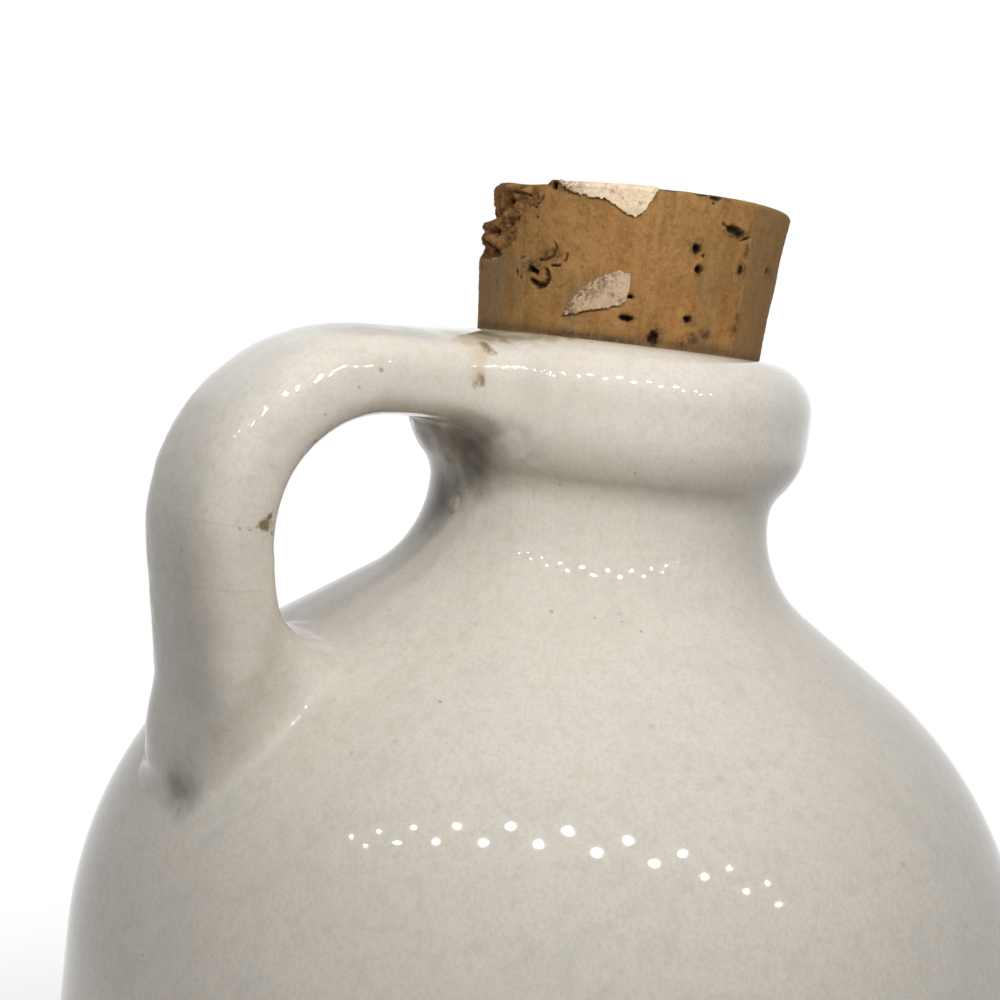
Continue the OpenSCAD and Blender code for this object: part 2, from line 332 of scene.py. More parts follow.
class Finish(Recipe):
    """One material, worked out on the piece's own coordinates."""

    def __init__(self, name):
        self.material = bpy.data.materials.new(name)
        self.material.use_nodes = True
        super().__init__(self.material.node_tree)
        self.place = self.node("ShaderNodeTexCoord", output="Object")

    def mix(self, share, first, second):
        """A colour between two colours."""
        sides = [side if isinstance(side, Wire) else (*side, 1) for side in (first, second)]
        return self.node("ShaderNodeMix", {"data_type": "RGBA"}, {0: share, 6: sides[0], 7: sides[1]}, 2)

    def stretch(self, scale, shift=(0, 0, 0)):
        """The object's own coordinates, scaled and shifted."""
        return self.node("ShaderNodeMapping", {}, {"Vector": self.place, "Scale": scale, "Location": shift})

    def noise(self, scale, detail, rough, place=None):
        inputs = {"Vector": place or self.place, "Scale": scale, "Detail": detail, "Roughness": rough}
        return self.node("ShaderNodeTexNoise", {}, inputs)

    def dots(self, scale, width, share):
        """Round specks in some of the cells of a scattered pattern."""
        cell = {"Vector": self.place, "Scale": scale}
        near = self.node("ShaderNodeTexVoronoi", {}, cell, "Distance")
        colour = self.node("ShaderNodeTexVoronoi", {}, cell, "Color")
        pick = self.node("ShaderNodeSeparateColor", {}, {"Color": colour})
        return near.rise(width, width * 0.35) * pick.rise(1 - share, 1 - share + 0.01)

    def vector(self, operation, inputs, output=0):
        return self.node("ShaderNodeVectorMath", {"operation": operation}, inputs, output)

    def warped(self, scale, amount_mm):
        """The object's coordinates pushed about by noise."""
        push = self.noise(scale, 3.0, 0.5).also("Color")
        away = self.vector("SUBTRACT", {0: push, 1: (0.5, 0.5, 0.5)})
        away = self.vector("SCALE", {0: away, "Scale": amount_mm * MM * 2})
        return self.vector("ADD", {0: self.place, 1: away})

    def axes(self):
        x = self.node("ShaderNodeSeparateXYZ", {}, {"Vector": self.place})
        return x, x.also("Y"), x.also("Z")

    def near(self, point_mm, radius_mm, soft_mm, place=None):
        """1 within a radius of a point, fading to 0 over the soft edge."""
        point = tuple(x * MM for x in point_mm)
        gap = self.vector("DISTANCE", {0: place or self.place, 1: point}, "Value")
        return gap.rise((radius_mm + soft_mm) * MM, max(0.0, radius_mm - soft_mm) * MM)

    def patch(self, balls, place):
        """1 inside any of the balls, each given as a centre, a radius and a soft edge."""
        return reduce(Wire.most, [self.near(*ball, place) for ball in balls])

    def attribute(self, name):
        return self.node("ShaderNodeAttribute", {"attribute_name": name}, {}, "Fac")

    def bump(self, height, distance_mm):
        return self.node("ShaderNodeBump", {}, {"Height": height, "Distance": distance_mm * MM})

    def surface(self, shader):
        self.node("ShaderNodeOutputMaterial", {}, {"Surface": shader})
        return self.material

    def coat(self, **sockets):
        """The material with a principled shader whose sockets are given by name."""
        inputs = {key.replace("_", " "): value for key, value in sockets.items()}
        return self.surface(self.node("ShaderNodeBsdfPrincipled", {}, inputs))


def plain(colour):
    """A colour property as three numbers."""
    return tuple(colour)[:3]


def times(colour, *shares):
    """A colour with each of its parts multiplied by its own share, or all by the same one."""
    return tuple(part * share for part, share in zip(colour, shares * (3 // len(shares))))


# Finishes: places and radii of marks are in millimetres, the bands that shaders read are in metres

# Dark specks in the glaze: place and radius
SPECKS = [
    ((-39.1, -9.2, 153.9), 0.3), ((-41.5, -9.2, 151.9), 0.2), ((-45.1, -9.2, 148.8), 0.18),
    ((-19.4, -17.8, 130.0), 0.25), ((-15.9, -21.0, 130.0), 0.14), ((-13.5, -22.7, 130.0), 0.14),
    ((-34.2, -19.9, 121.1), 0.25), ((-48.6, -9.9, 120.3), 0.22), ((-52.0, -8.2, 115.5), 0.18),
    ((-17.1, -13.6, 143.5), 0.2), ((-55.3, -6.3, 127.6), 0.15), ((30.0, 22.0, 121.0), 0.25),
    ((12.0, 40.0, 112.0), 0.22), ((58.9, -3.0, 70.0), 0.25), ((-20.0, 55.5, 60.0), 0.25),
]
SPECK_BROWN = (0.15, 0.125, 0.09)
# Stains and painted shade: colour, strength, soft share of the radius, and the places they cover with a
# radius each
STAINS_AND_SHADE = [
    # The pale tan drip below the handle's root and the brown marks in it
    ((0.60, 0.49, 0.32), 0.9, 0.6,
     [((-26.6, -7.2, 157.9), 1.5), ((-26.9, -8.6, 156.6), 1.2), ((-27.2, -9.3, 155.2), 0.9),
      ((-27.3, -9.5, 154.2), 0.5)]),
    ((0.22, 0.14, 0.065), 0.92, 0.6,
     [((-25.7, -8.3, 157.6), 0.75), ((-25.4, -8.7, 157.1), 0.55), ((-26.5, -9.1, 155.2), 0.3),
      ((-26.9, -9.4, 154.4), 0.5), ((-27.3, -9.5, 153.9), 0.45)]),
    # Dirt on the lip in front of the cork
    ((0.30, 0.26, 0.18), 0.8, 0.7,
     [((-27.5, -4.4, 158.9), 1.4), ((-25.6, -4.8, 159.1), 1.7), ((-23.7, -5.4, 159.2), 1.7),
      ((-22.2, -6.2, 159.3), 1.6), ((-20.6, -7.2, 159.5), 1.5), ((-19.2, -8.4, 159.8), 1.3),
      ((-17.8, -9.6, 160.0), 1.2), ((-16.4, -10.9, 160.0), 1.0), ((-24.6, -6.6, 158.9), 1.3),
      ((-22.6, -7.5, 159.1), 1.1), ((-18.0, -3.0, 160.0), 2.6)]),
    # The brown chip on the strap and its tail
    ((0.17, 0.10, 0.03), 0.9, 0.4,
     [((-50.6, -9.1, 137.0), 0.9), ((-49.9, -8.9, 137.8), 0.5), ((-49.4, -8.6, 136.8), 0.5)]),
    ((0.20, 0.15, 0.08), 0.5, 0.4,
     [((-51.8, -9.2, 136.9), 0.3), ((-52.6, -9.2, 136.7), 0.2), ((-53.4, -9.1, 136.4), 0.2)]),
    # The crack, and painted shade in the hollow of the thumb mark
    ((0.10, 0.09, 0.07), 0.7, 0.4,
     [((-53.4, -2.0, 107.6), 0.45), ((-53.6, -2.1, 106.8), 0.55), ((-53.8, -2.2, 106.1), 0.45)]),
    ((0.22, 0.20, 0.17), 0.65, 0.9, [((-53.6, -1.7, 107.4), 2.3)]),
    # Mostly painted shade in the hollow under the handle's root, with some grime
    ((0.085, 0.070, 0.045), 0.97, 0.9,
     [((-29.0, 2.0, 146.5), 5.0), ((-25.0, -4.5, 145.0), 4.2), ((-24.5, 1.0, 141.5), 3.2),
      ((-22.5, 4.5, 139.5), 3.2), ((-23.5, -3.5, 143.5), 3.0), ((-30.0, 8.0, 147.0), 4.5),
      ((-26.0, 8.0, 145.0), 4.0)]),
]
# Rubbed patches that have lost their gloss, and small pocks: centre, radius and soft edge
RUBBED = [((-28.0, -1.0, 145.0), 6.5, 2.5), ((-28.5, 7.0, 146.0), 6.0, 2.5)]
POCKS = [((-43.2, -15.2, 115.8), 0.6, 0.5), ((-42.8, -17.4, 115.5), 0.3, 0.3)]
# Fine cracks round the strap: height, and the X at which they end, then their width, fading and colour
CRAZE_LINES = [(0.1375, -0.0505), (0.1309, -0.0515)]
CRAZE_LINE, CRAZE_FADE, CRAZE_GREY = (0.00012, 0.00003), 0.003, (0.22, 0.19, 0.15)
# The bare clay at the foot, painted shade on top of the handle, and the thicker glaze of the lip
BARE_BAND, PALE_CLAY, DARK_CLAY = (0.0036, 0.0031), (0.50, 0.40, 0.29), (0.33, 0.26, 0.19)
TOP_SHADE_RISE, TOP_SHADE_REACH, TOP_SHADE_GREY = (0.1570, 0.1583), (-0.028, -0.034), (0.26, 0.25, 0.225)
POOLED_RISE = (0.1475, 0.1500)
# Grey and brown flecks: cells to the metre, width, share of the cells, strength and colour
FLECKS = [(230, 0.13, 0.16, 0.3, (0.33, 0.36, 0.40)), (330, 0.1, 0.05, 0.6, (0.16, 0.11, 0.06))]


def glaze_colour(g, look, clouds):
    """The glaze's own pale colour with its mottling and flecks."""
    base = plain(look.glaze_colour)
    cool, warm = times(base, 0.74, 0.78, 0.82), times(base, 0.95, 0.84, 0.72)
    dusk = times(base, 0.80, 0.78, 0.70)
    shifted = g.stretch((1, 1, 1), (3.1, 1.7, 0.4))
    fine, flecks, blots = g.noise(2300, 3, 0.7), g.noise(1500, 3, 0.65, shifted), g.noise(620, 3, 0.6)
    colour = g.mix(fine.rise(0.42, 0.75) * look.mottling, base, cool)
    colour = g.mix(flecks.rise(0.5, 0.74) * look.mottling, colour, warm)
    colour = g.mix(blots.rise(0.48, 0.72) * look.mottling * 0.7, colour, dusk)
    colour = g.mix(clouds.rise(0.45, 0.75) * 0.28, colour, cool)
    colour = g.mix(g.noise(38, 2, 0.5).rise(0.45, 0.75) * 0.2, colour, warm)
    for cells, width, share, strength, tint in FLECKS:
        colour = g.mix(g.dots(cells, width, share) * strength, colour, tint)
    return colour


def glaze_finish(look):
    """Pale glossy stoneware glaze, softly mottled, over a bare clay foot."""
    g = Finish("stoneware_glaze")
    x, _, z = g.axes()
    clouds = g.noise(170, 3, 0.6)
    colour = glaze_colour(g, look, clouds)
    fuzzy, loose = g.warped(2400, 0.22), g.warped(420, 1.4)
    for where, radius in SPECKS:
        colour = g.mix(g.near(where, radius * 0.8, 0.14, fuzzy) * 0.6, colour, SPECK_BROWN)
    # Stains, and painted shade under the handle's root and in the thumb mark
    for tint, share, soft, places in STAINS_AND_SHADE:
        stained_and_shaded = g.patch([(where, radius, radius * soft) for where, radius in places], loose)
        colour = g.mix(stained_and_shaded * share, colour, tint)
    drift = g.noise(110, 2, 0.5) * 0.0012
    for height, reach in CRAZE_LINES:
        craze = (z + drift - height).size().rise(*CRAZE_LINE) * x.rise(reach + CRAZE_FADE, reach)
        colour = g.mix(craze * 0.12, colour, CRAZE_GREY)
    bare = (z + g.noise(160, 3, 0.6) * 0.002).rise(*BARE_BAND)
    clay = g.mix(g.noise(900, 4, 0.7).rise(0.35, 0.7), PALE_CLAY, DARK_CLAY)
    colour = g.mix(bare, colour, clay)
    # Painted shade: the top of the handle is greyed, standing in for a dimmer reflection there
    top_shade = (z + (clouds - 0.5) * 0.002).rise(*TOP_SHADE_RISE) * x.rise(*TOP_SHADE_REACH)
    colour = g.mix(top_shade * 0.6, colour, TOP_SHADE_GREY)
    rubbed = g.patch(RUBBED, loose)
    grain = g.noise(2600, 2, 0.6)
    pock = g.near(*POCKS[0]) + g.near(*POCKS[1])
    height = g.noise(95, 2, 0.4) * 0.7 + grain * 0.03 + bare * grain * 1.5 - pock * 1.5
    return g.coat(
        Base_Color=colour,
        Roughness=bare * 0.75 + rubbed * 0.6 + top_shade * 0.3 + 0.05,
        IOR=1.45,
        Specular_IOR_Level=0.24,
        Coat_Weight=z.rise(*POOLED_RISE) * 0.8,
        Normal=g.bump(height, 0.06),
    )


# Colours of the broken, dirty and worn places of the cork, of the painted shade where its break is deepest
# and of the darker band at its foot, and the bands in which they lie
FRESH_CORK = ((0.12, 0.056, 0.019), (0.33, 0.165, 0.055))
WORN_GREY, EDGE_BROWN, SMUDGE_BROWN = (0.20, 0.165, 0.105), (0.05, 0.032, 0.016), (0.04, 0.026, 0.014)
PIT_AND_SHADE_BROWN, CRACK_BROWN = (0.020, 0.011, 0.006), (0.03, 0.018, 0.01)
MARGIN_GREY, SEAM_PALE = (0.20, 0.145, 0.07), (0.55, 0.36, 0.17)
WORN_SIDE_RISE, WORN_SIDE_FALL = (0.0155, 0.0185), (0.1705, 0.166)
EDGE_BAND, FRONT_BAND, SEAM_LINE = (0.1628, 0.1610), (-0.010, -0.014), (0.00022, 0.00006)
SEAM_WAY, SEAM_SLANT, SEAM_Z = (0.989, 0.148), 0.036, 0.1685


def cork_colour(c, look, streak, patch, grain, fine):
    """The cork's own brown, streaked lengthwise, blotched and dotted."""
    base = plain(look.cork_colour)
    light, olive = times(base, 1.3, 1.32, 1.35), times(base, 0.72, 0.78, 0.8)
    ruddy = times(base, 1.15, 0.95, 0.85)
    long_way, short_way = c.stretch((1, 1, 0.6), (4, 1, 2)), c.stretch((1, 1, 0.7), (2, 5, 1))
    colour = c.mix(streak.rise(0.36, 0.62) * 0.7 + 0.3, times(base, 0.66, 0.62, 0.55), base)
    colour = c.mix(c.noise(95, 4, 0.65).rise(0.42, 0.66) * 0.55, colour, olive)
    colour = c.mix(c.noise(140, 4, 0.65, long_way).rise(0.46, 0.7) * 0.6, colour, ruddy)
    colour = c.mix(patch.rise(0.46, 0.72) * 0.6, colour, light)
    colour = c.mix(c.dots(1000, 0.2, 0.22) * 0.5, colour, times(base, 0.3))
    colour = c.mix(grain.rise(0.46, 0.68) * 0.6, colour, times(base, 0.5))
    colour = c.mix(c.noise(1900, 3, 0.7, short_way).rise(0.52, 0.7) * 0.5, colour, light)
    return c.mix(fine.rise(0.5, 0.74) * 0.65, colour, times(base, 0.45))


def cork_finish(look):
    """Worn brown cork: lengthwise streaks, dark pits, painted shade in the deepest parts of the break, and a
    crumbled edge.
    """
    c = Finish("natural_cork")
    x, y, z = c.axes()
    crumb, pits_and_deep_shade, crack, smudge = (c.attribute(name) for name in CORK_MARKS)
    streak = c.noise(700, 4, 0.6, c.stretch((1, 1, 0.14)))
    patch, grain, fine = c.noise(230, 4, 0.6), c.noise(1300, 4, 0.7), c.noise(4200, 3, 0.75)
    colour = cork_colour(c, look, streak, patch, grain, fine)
    worn = (x * -0.97 + y * 0.2).rise(*WORN_SIDE_RISE) * z.rise(*WORN_SIDE_FALL)
    bands = c.noise(150, 3, 0.6, c.stretch((1, 1, 0.35), (0.7, 0.2, 0))).rise(0.5, 0.75) * 0.35
    colour = c.mix(bands.most(worn * streak.rise(0.3, 0.6) * 0.75), colour, WORN_GREY)
    fresh = c.mix(c.noise(700, 4, 0.7).rise(0.3, 0.62), *FRESH_CORK)
    # The cork is darker in a band round its foot, just above the lip
    edge = (z + (patch + grain) * 0.0011).rise(*EDGE_BAND)
    colour = c.mix(edge * 0.62, c.mix(crumb, colour, fresh), EDGE_BROWN)
    colour = c.mix(smudge * (fine + grain).rise(0.75, 1.15) * 0.85, colour, SMUDGE_BROWN)
    # Dark pits, and painted shade where the break is deepest
    colour = c.mix(crack * 0.8, c.mix(pits_and_deep_shade, colour, PIT_AND_SHADE_BROWN), CRACK_BROWN)
    past_seam = x * SEAM_WAY[0] + y * SEAM_WAY[1] + (z - SEAM_Z) * SEAM_SLANT + (streak - 0.5) * 0.0003
    front = y.rise(*FRONT_BAND)
    margin = past_seam.rise(0.0001, 0.0005) * past_seam.rise(0.009, 0.004) * front
    colour = c.mix(margin * (streak * 0.5 + 0.1), colour, MARGIN_GREY)
    seam = past_seam.size().rise(*SEAM_LINE) * front
    colour = c.mix(seam * grain.rise(0.45, 0.6) * 0.5, colour, SEAM_PALE)
    height = grain * 0.5 + fine * 0.25 + streak * 0.5 + crumb * c.noise(1300, 4, 0.8) * 1.5
    return c.coat(Base_Color=colour, Roughness=0.82 - grain * 0.2, IOR=1.4, Specular_IOR_Level=0.2,
                  Normal=c.bump(height, 0.16))


def paper_finish(name, colour, stain, specks):
    """Torn paper with soft fibres, specked, stained and soiled at its edge."""
    p = Finish(name)
    fibre, blot = p.noise(2600, 4, 0.75), p.noise(520, 4, 0.65)
    shade = p.mix(fibre.rise(0.42, 0.66) * 0.6, colour, times(colour, 0.6))
    shade = p.mix(blot.rise(0.5, 0.68) * 0.6, shade, stain)
    fleck = p.noise(900, 4, 0.75, p.stretch((1, 1, 1), (1.3, 0.4, 2.2))).rise(0.58, 0.66)
    shade = p.mix(fleck * 0.7, shade, specks)
    soiled = p.attribute("soiled") * (fibre + blot).rise(0.82, 1.1)
    shade = p.mix(soiled, shade, times(stain, 0.38))
    return p.coat(Base_Color=shade, Roughness=0.9, IOR=1.4, Normal=p.bump(fibre + blot, 0.14))


FLOOR_GREY, WHITE = (0.9, 0.9, 0.9, 1), (1, 1, 1, 1)


def floor_finish(look):
    """Pale matt floor that keeps the jug's shadow and is plain white further off."""
    f = Finish("pale_floor")
    x, y, _ = f.axes()
    away = ((x * x + y * y) ** 0.5).rise(look.shadow_reach * 0.5, look.shadow_reach)
    matt = f.node("ShaderNodeBsdfDiffuse", {}, {"Color": FLOOR_GREY})
    white = f.node("ShaderNodeEmission", {}, {"Color": WHITE, "Strength": 1.0})
    share = (away * 0.28 + 0.72) * f.in_view()
    return f.surface(f.node("ShaderNodeMixShader", {}, {0: share, 1: matt, 2: white}))


# Handle: a strap pulled out of the lip, bent over and pressed on to the shoulder, in millimetres

HANDLE_W = 18.5
HANDLE_T = 10.0
BEND_R = 17.2
HANDLE_DROP = 1.3
LEAN = math.radians(10)
BASE_FILLET = 11.0
ROOT_DEEPENING = 3.0
ROOT_SPREAD = 8.0
ROOT_RUN = 9.0
BASE_SPREAD = 3.0
FOOT_SHIFT = 3.4
# The potter's thumb mark: place, depth, radius; a drop of clay under the root: place, radius, tallness
THUMB_MARK, THUMB_DEPTH, THUMB_R = (-53.4, -1.9, 107.2), 0.5, 2.0
CLAY_DROP, CLAY_DROP_R, CLAY_DROP_TALL = (-21.0, 0.2, 139.2), 0.9, 1.7
HANDLE_INSET = 1.5
BEND_IN, BEND_OUT = BEND_R - HANDLE_T / 2, BEND_R + HANDLE_T / 2
BEND_C = np.array([BODY_R - HANDLE_INSET - BEND_OUT, LIP_Z - HANDLE_DROP - BEND_OUT])
# How the strap's lower end is pushed out, which way, how it spreads, and the bulge above it
TOE_PUSH, TOE_WAY, TOE_SPREAD, CALF = 2.4, np.array([0.51, -0.86]), 1.2, 1.8
# How square the strap's section is on the outside and on the inside of the loop
OUTER_SQUARENESS, INNER_SQUARENESS = 2.7, 3.2
# Places that no section reaches count as this many half thicknesses away or more
MISSED = 100.0
# How far the clay of strap and jug runs together, and how much further at the root and at the toe
MELT, MELT_AT_ROOT, MELT_AT_TOE = 2.6, 2.4, 3.5
# The handle's skirt in the clay: how far it sinks near and away from the strap, its depth and inner radius
SKIRT_SUNK, SKIRT_FALL, SKIRT_DEPTH, SKIRT_IN_R = 0.008, 3.4, 2.4, 19.2
# The box of the grid that the handle is worked out on, along X, Y and Z
HANDLE_BOX = ((-60.0, -7.0), (-25.0, 25.45), (86.0, 162.5))


def shoulder_z(x):
    """Height of the jug's shoulder at a distance from its axis."""
    if x > SLOPE_X:
        return SHOULDER_C[1] + math.sqrt(max(0, SHOULDER_R**2 - (x - SHOULDER_C[0]) ** 2))
    return SLOPE_FOOT[1] + (SLOPE_X - x) / math.tan(SLOPE)


def strap_rings():
    """Sections of the strap from lip to shoulder: inner edges, outer edges, half widths, sideways shifts."""
    half_w = HANDLE_W / 2
    root_x = LIP_R + ROOT_RUN * 0.65
    end_x = root_x - ROOT_RUN
    top = BEND_C[1] + BEND_IN
    rings = []

    def level(x, grown, dip):
        drop = HANDLE_DROP * (x - LIP_C[0]) / (BEND_C[0] - LIP_C[0]) + dip
        width = half_w + ROOT_SPREAD / 2 * grown
        rings.append(([x, top - ROOT_DEEPENING * grown], [x, LIP_Z - drop], width, 0))

    for x in np.linspace(end_x - 5, end_x, 8)[:-1]:
        dip = 0.5 + 0.05 * (end_x - x) ** 2
        rings.append(([x, top - ROOT_DEEPENING], [x, LIP_Z - dip], half_w + ROOT_SPREAD / 2, 0))
    for turn in np.linspace(math.pi / 2, 0, 25):
        x = root_x - ROOT_RUN * math.sin(turn)
        level(x, 1 - math.cos(turn), 0.3 * (1 - smooth(x, end_x, end_x + 4)))
    for x in np.linspace(root_x, BEND_C[0], 8)[1:-1]:
        level(x, 0, 0)
    for turn in np.linspace(math.pi / 2, -LEAN, 44):
        way = np.array([math.cos(turn), math.sin(turn)])
        rings.append((BEND_C + BEND_IN * way, BEND_C + BEND_OUT * way, half_w, 0))
    in_foot, out_foot = rings[-1][:2]
    base_x = in_foot[0] - BASE_FILLET
    base_in = np.array([base_x, shoulder_z(base_x)])
    fillet = np.array([BASE_FILLET, min(BASE_FILLET, in_foot[1] - base_in[1])])
    in_top = base_in + fillet
    drop = out_foot[1] - shoulder_z(out_foot[0])
    out_x = out_foot[0] - drop * math.tan(LEAN)
    base_out = np.array([out_x, shoulder_z(out_x)])
    lean = np.array([math.tan(LEAN), 1])
    flare_top, flare_turn = out_foot - drop * 0.3 * lean, out_foot - drop * 0.75 * lean
    for t in np.linspace(0, 1, 14)[1:-1]:
        rings.append((in_foot + (in_top - in_foot) * t, out_foot + (flare_top - out_foot) * t, half_w, 0))
    for t in np.linspace(0, 1, 60):
        quarter = math.pi / 2 * t
        inner = base_in + fillet * [math.cos(quarter), 1 - math.sin(quarter)]
        outer = (1 - t) ** 2 * flare_top + 2 * t * (1 - t) * flare_turn + t * t * base_out
        toe = smooth(t, 0.45, 1)
        calf = smooth(t, 0.12, 0.55) * smooth(t, 1.05, 0.65)
        outer = outer + TOE_PUSH * toe * TOE_WAY + [CALF * calf, 0]
        width, over = half_w + BASE_SPREAD / 2 * t + TOE_SPREAD * toe, FOOT_SHIFT * smooth(t, 0.1, 1)
        rings.append((inner, outer, width, over))
    down = -np.array([math.sin(SLOPE), math.cos(SLOPE)])
    for depth in np.linspace(0.7, 10, 12):
        rings.append((inner + depth * down, outer + depth * down, width, over))
    return [np.array(column) for column in zip(*rings)]


def evened(values, rounds):
    """A grid's values, averaged with their neighbours again and again."""
    for _ in range(rounds):
        edged = np.pad(values, 1, mode="edge")
        total = 0.0
        for axis, count in enumerate(values.shape):
            for side in (0, 2):
                part = [slice(1, -1)] * values.ndim
                part[axis] = slice(side, side + count)
                total = total + edged[tuple(part)]
        values = (total + values) / (2 * values.ndim + 1)
    return values


def strap_field(xs, ys, zs):
    """Distance from the strap's surface at each point of a grid, negative inside it."""
    inner, outer, half_w, over = strap_rings()
    reach = outer - inner
    px, pz = np.meshgrid(-xs, zs, indexing="ij")
    end_x = inner[0, 0] + 0.01
    past = (end_x - px)[:, None, :]
    px, pz = np.maximum(px, end_x)[..., None], pz[..., None]
    side = reach[:, 0] * (pz - inner[:, 1]) - reach[:, 1] * (px - inner[:, 0])
    span = (reach**2).sum(1)
    across = ((px - inner[:, 0]) * reach[:, 0] + (pz - inner[:, 1]) * reach[:, 1]) / span * 2 - 1
    turned = side[..., :-1] * side[..., 1:] <= 0
    share = np.clip(side[..., :-1] / (side[..., :-1] - side[..., 1:] + 1e-12), 0, 1)

    def between(values):
        return values[..., :-1] * (1 - share) + values[..., 1:] * share

    def chosen(values, missing):
        return np.where(found, np.take_along_axis(between(values), pick, -1)[..., 0], missing)

    cost = np.where(turned, np.abs(between(across)), MISSED * 10)
    pick = cost.argmin(-1)[..., None]
    found = np.take_along_axis(cost, pick, -1)[..., 0] < MISSED
    w = chosen(across, 4.0)
    outside = w > 0
    far = smooth(np.abs(w), 1.02, 1.3)
    w = w * (1 - far) + evened(w, 40) * far
    width = chosen(half_w, HANDLE_W / 2)[:, None, :]
    half_t = chosen(np.sqrt(span) / 2, HANDLE_T / 2)
    steep = np.hypot(*np.gradient(w, xs[1] - xs[0]))
    steep = np.clip(steep, 0.8 / half_t, 2.6 / half_t)[:, None, :]
    y = np.abs(ys[None, :, None] - chosen(over, 0)[:, None, :]) / width
    w = np.abs(w)[:, None, :]
    square = np.where(outside, OUTER_SQUARENESS, INNER_SQUARENESS)[:, None, :]
    part = w**square + y**square
    field = part ** (1 / square) - 1
    down = np.maximum(part, 1e-9) ** (1 / square - 1)
    slope = np.hypot(w ** (square - 1) * down * steep, y ** (square - 1) * down / width)
    field = field / np.maximum(slope, 0.03)
    return np.where(past > 0, np.hypot(np.maximum(field, 0), past), np.maximum(field, past))


def soft_least(a, b, k):
    """The lesser of two distances, with a rounded hollow of size k where they meet."""
    h = np.maximum(k - np.abs(a - b), 0) / k
    return np.minimum(a, b) - h * h * h * k / 6


def surface_nets(field, origin, step):
    """A closed mesh of quads where the field passes through zero, its points set on the surface."""
    shape = np.array(field.shape)
    sign = field < 0
    total = np.zeros((*(shape - 1), 3))
    count = np.zeros(shape - 1)

    def cut(values, corner):
        return values[tuple(slice(c, c + n - 1) for c, n in zip(corner, shape))]

    for corner in CORNERS:
        for axis in np.flatnonzero(corner == 0):
            other = corner.copy()
            other[axis] = 1
            here, there = cut(field, corner), cut(field, other)
            crossed = cut(sign, corner) != cut(sign, other)
            t = np.where(crossed, here / np.where(crossed, here - there, 1), 0)
            point = corner + t[..., None] * (other - corner)
            total += point * crossed[..., None]
            count += crossed
    active = count > 0
    index = np.full(active.shape, -1)
    index[active] = np.arange(active.sum())
    cells = np.argwhere(active)
    points = cells + total[active] / count[active][:, None]
    quads = []
    for axis in range(3):
        u, v = (axis + 1) % 3, (axis + 2) % 3
        low = [slice(1, n - 1) for n in shape]
        low[axis] = slice(0, shape[axis] - 1)
        high = list(low)
        high[axis] = slice(1, shape[axis])
        here, there = sign[tuple(low)], sign[tuple(high)]
        where = np.argwhere(here != there)
        inside_first = here[tuple(where.T)]
        base = where + np.array([0 if k == axis else 1 for k in range(3)])
        ring = []
        for du, dv in ((0, 0), (1, 0), (1, 1), (0, 1)):
            c = base.copy()
            c[:, [u, v]] -= [du, dv]
            ring.append(index[tuple(c.T)])
        ring = np.stack(ring, 1)
        ring[~inside_first] = ring[~inside_first][:, ::-1]
        quads.append(ring)
    slopes = np.stack(np.gradient(field), -1)
    for _ in range(4):
        value, slope = sample(field, points), sample(slopes, points)
        move = -value[:, None] * slope / np.maximum((slope**2).sum(1), 1e-6)[:, None]
        points = points + np.clip(move, -0.4, 0.4)
    normals = sample(slopes, points)
    normals /= np.linalg.norm(normals, axis=1)[:, None] + 1e-12
    return origin + points * step, np.concatenate(quads), normals


def sample(values, points):
    """Values of a grid at points between its places."""
    top = np.array(values.shape[:3]) - 2
    cell = np.clip(np.floor(points).astype(int), 0, top)
    f = np.clip(points - cell, 0, 1)
    total = 0.0
    for step in CORNERS:
        weight = np.prod(np.where(step, f, 1 - f), axis=1)
        c = cell + step
        found = values[c[:, 0], c[:, 1], c[:, 2]]
        total = total + (weight[:, None] * found if found.ndim > 1 else weight * found)
    return total


def roughened(strap, x, y, z):
    """The strap's distance with unevenness in the clay, a worn hollow under the root and a softened foot."""
    spot = np.stack([x, y, z], -1)
    rough = fbm(spot * [0.30, 0.55, 0.55], 2, 5) - 0.5
    ridges = fbm(spot * [0.5, 0.25, 1.1], 2, 6) - 0.5
    under = smooth(z, 149.5, 146.5) * smooth(z, 138, 142) * smooth(x, -33, -29) * smooth(np.abs(y), 12, 7)
    worn = smooth(z, 150.5, 147.0) * smooth(z, 138, 142) * smooth(x, -40, -32) * smooth(y, -14, -9)
    strap = strap + rough * (0.5 * under + 0.14) + ridges * under * 0.9 + 1.3 * worn
    foot = slice(0, int((x[:, 0, 0] < -40).sum())), slice(None), slice(0, int((z[0, 0] < 123).sum()))
    low = smooth(z[foot], 119.5, 112.5) * smooth(x[foot], -44, -49)
    strap[foot] += (evened(strap[foot], 70) - strap[foot]) * low
    return strap


def gap_from(point, x, y, z, tall=1):
    """Distance from a point, measured shorter upwards where it is tall."""
    return np.sqrt((x - point[0]) ** 2 + (y - point[1]) ** 2 + ((z - point[2]) / tall) ** 2)


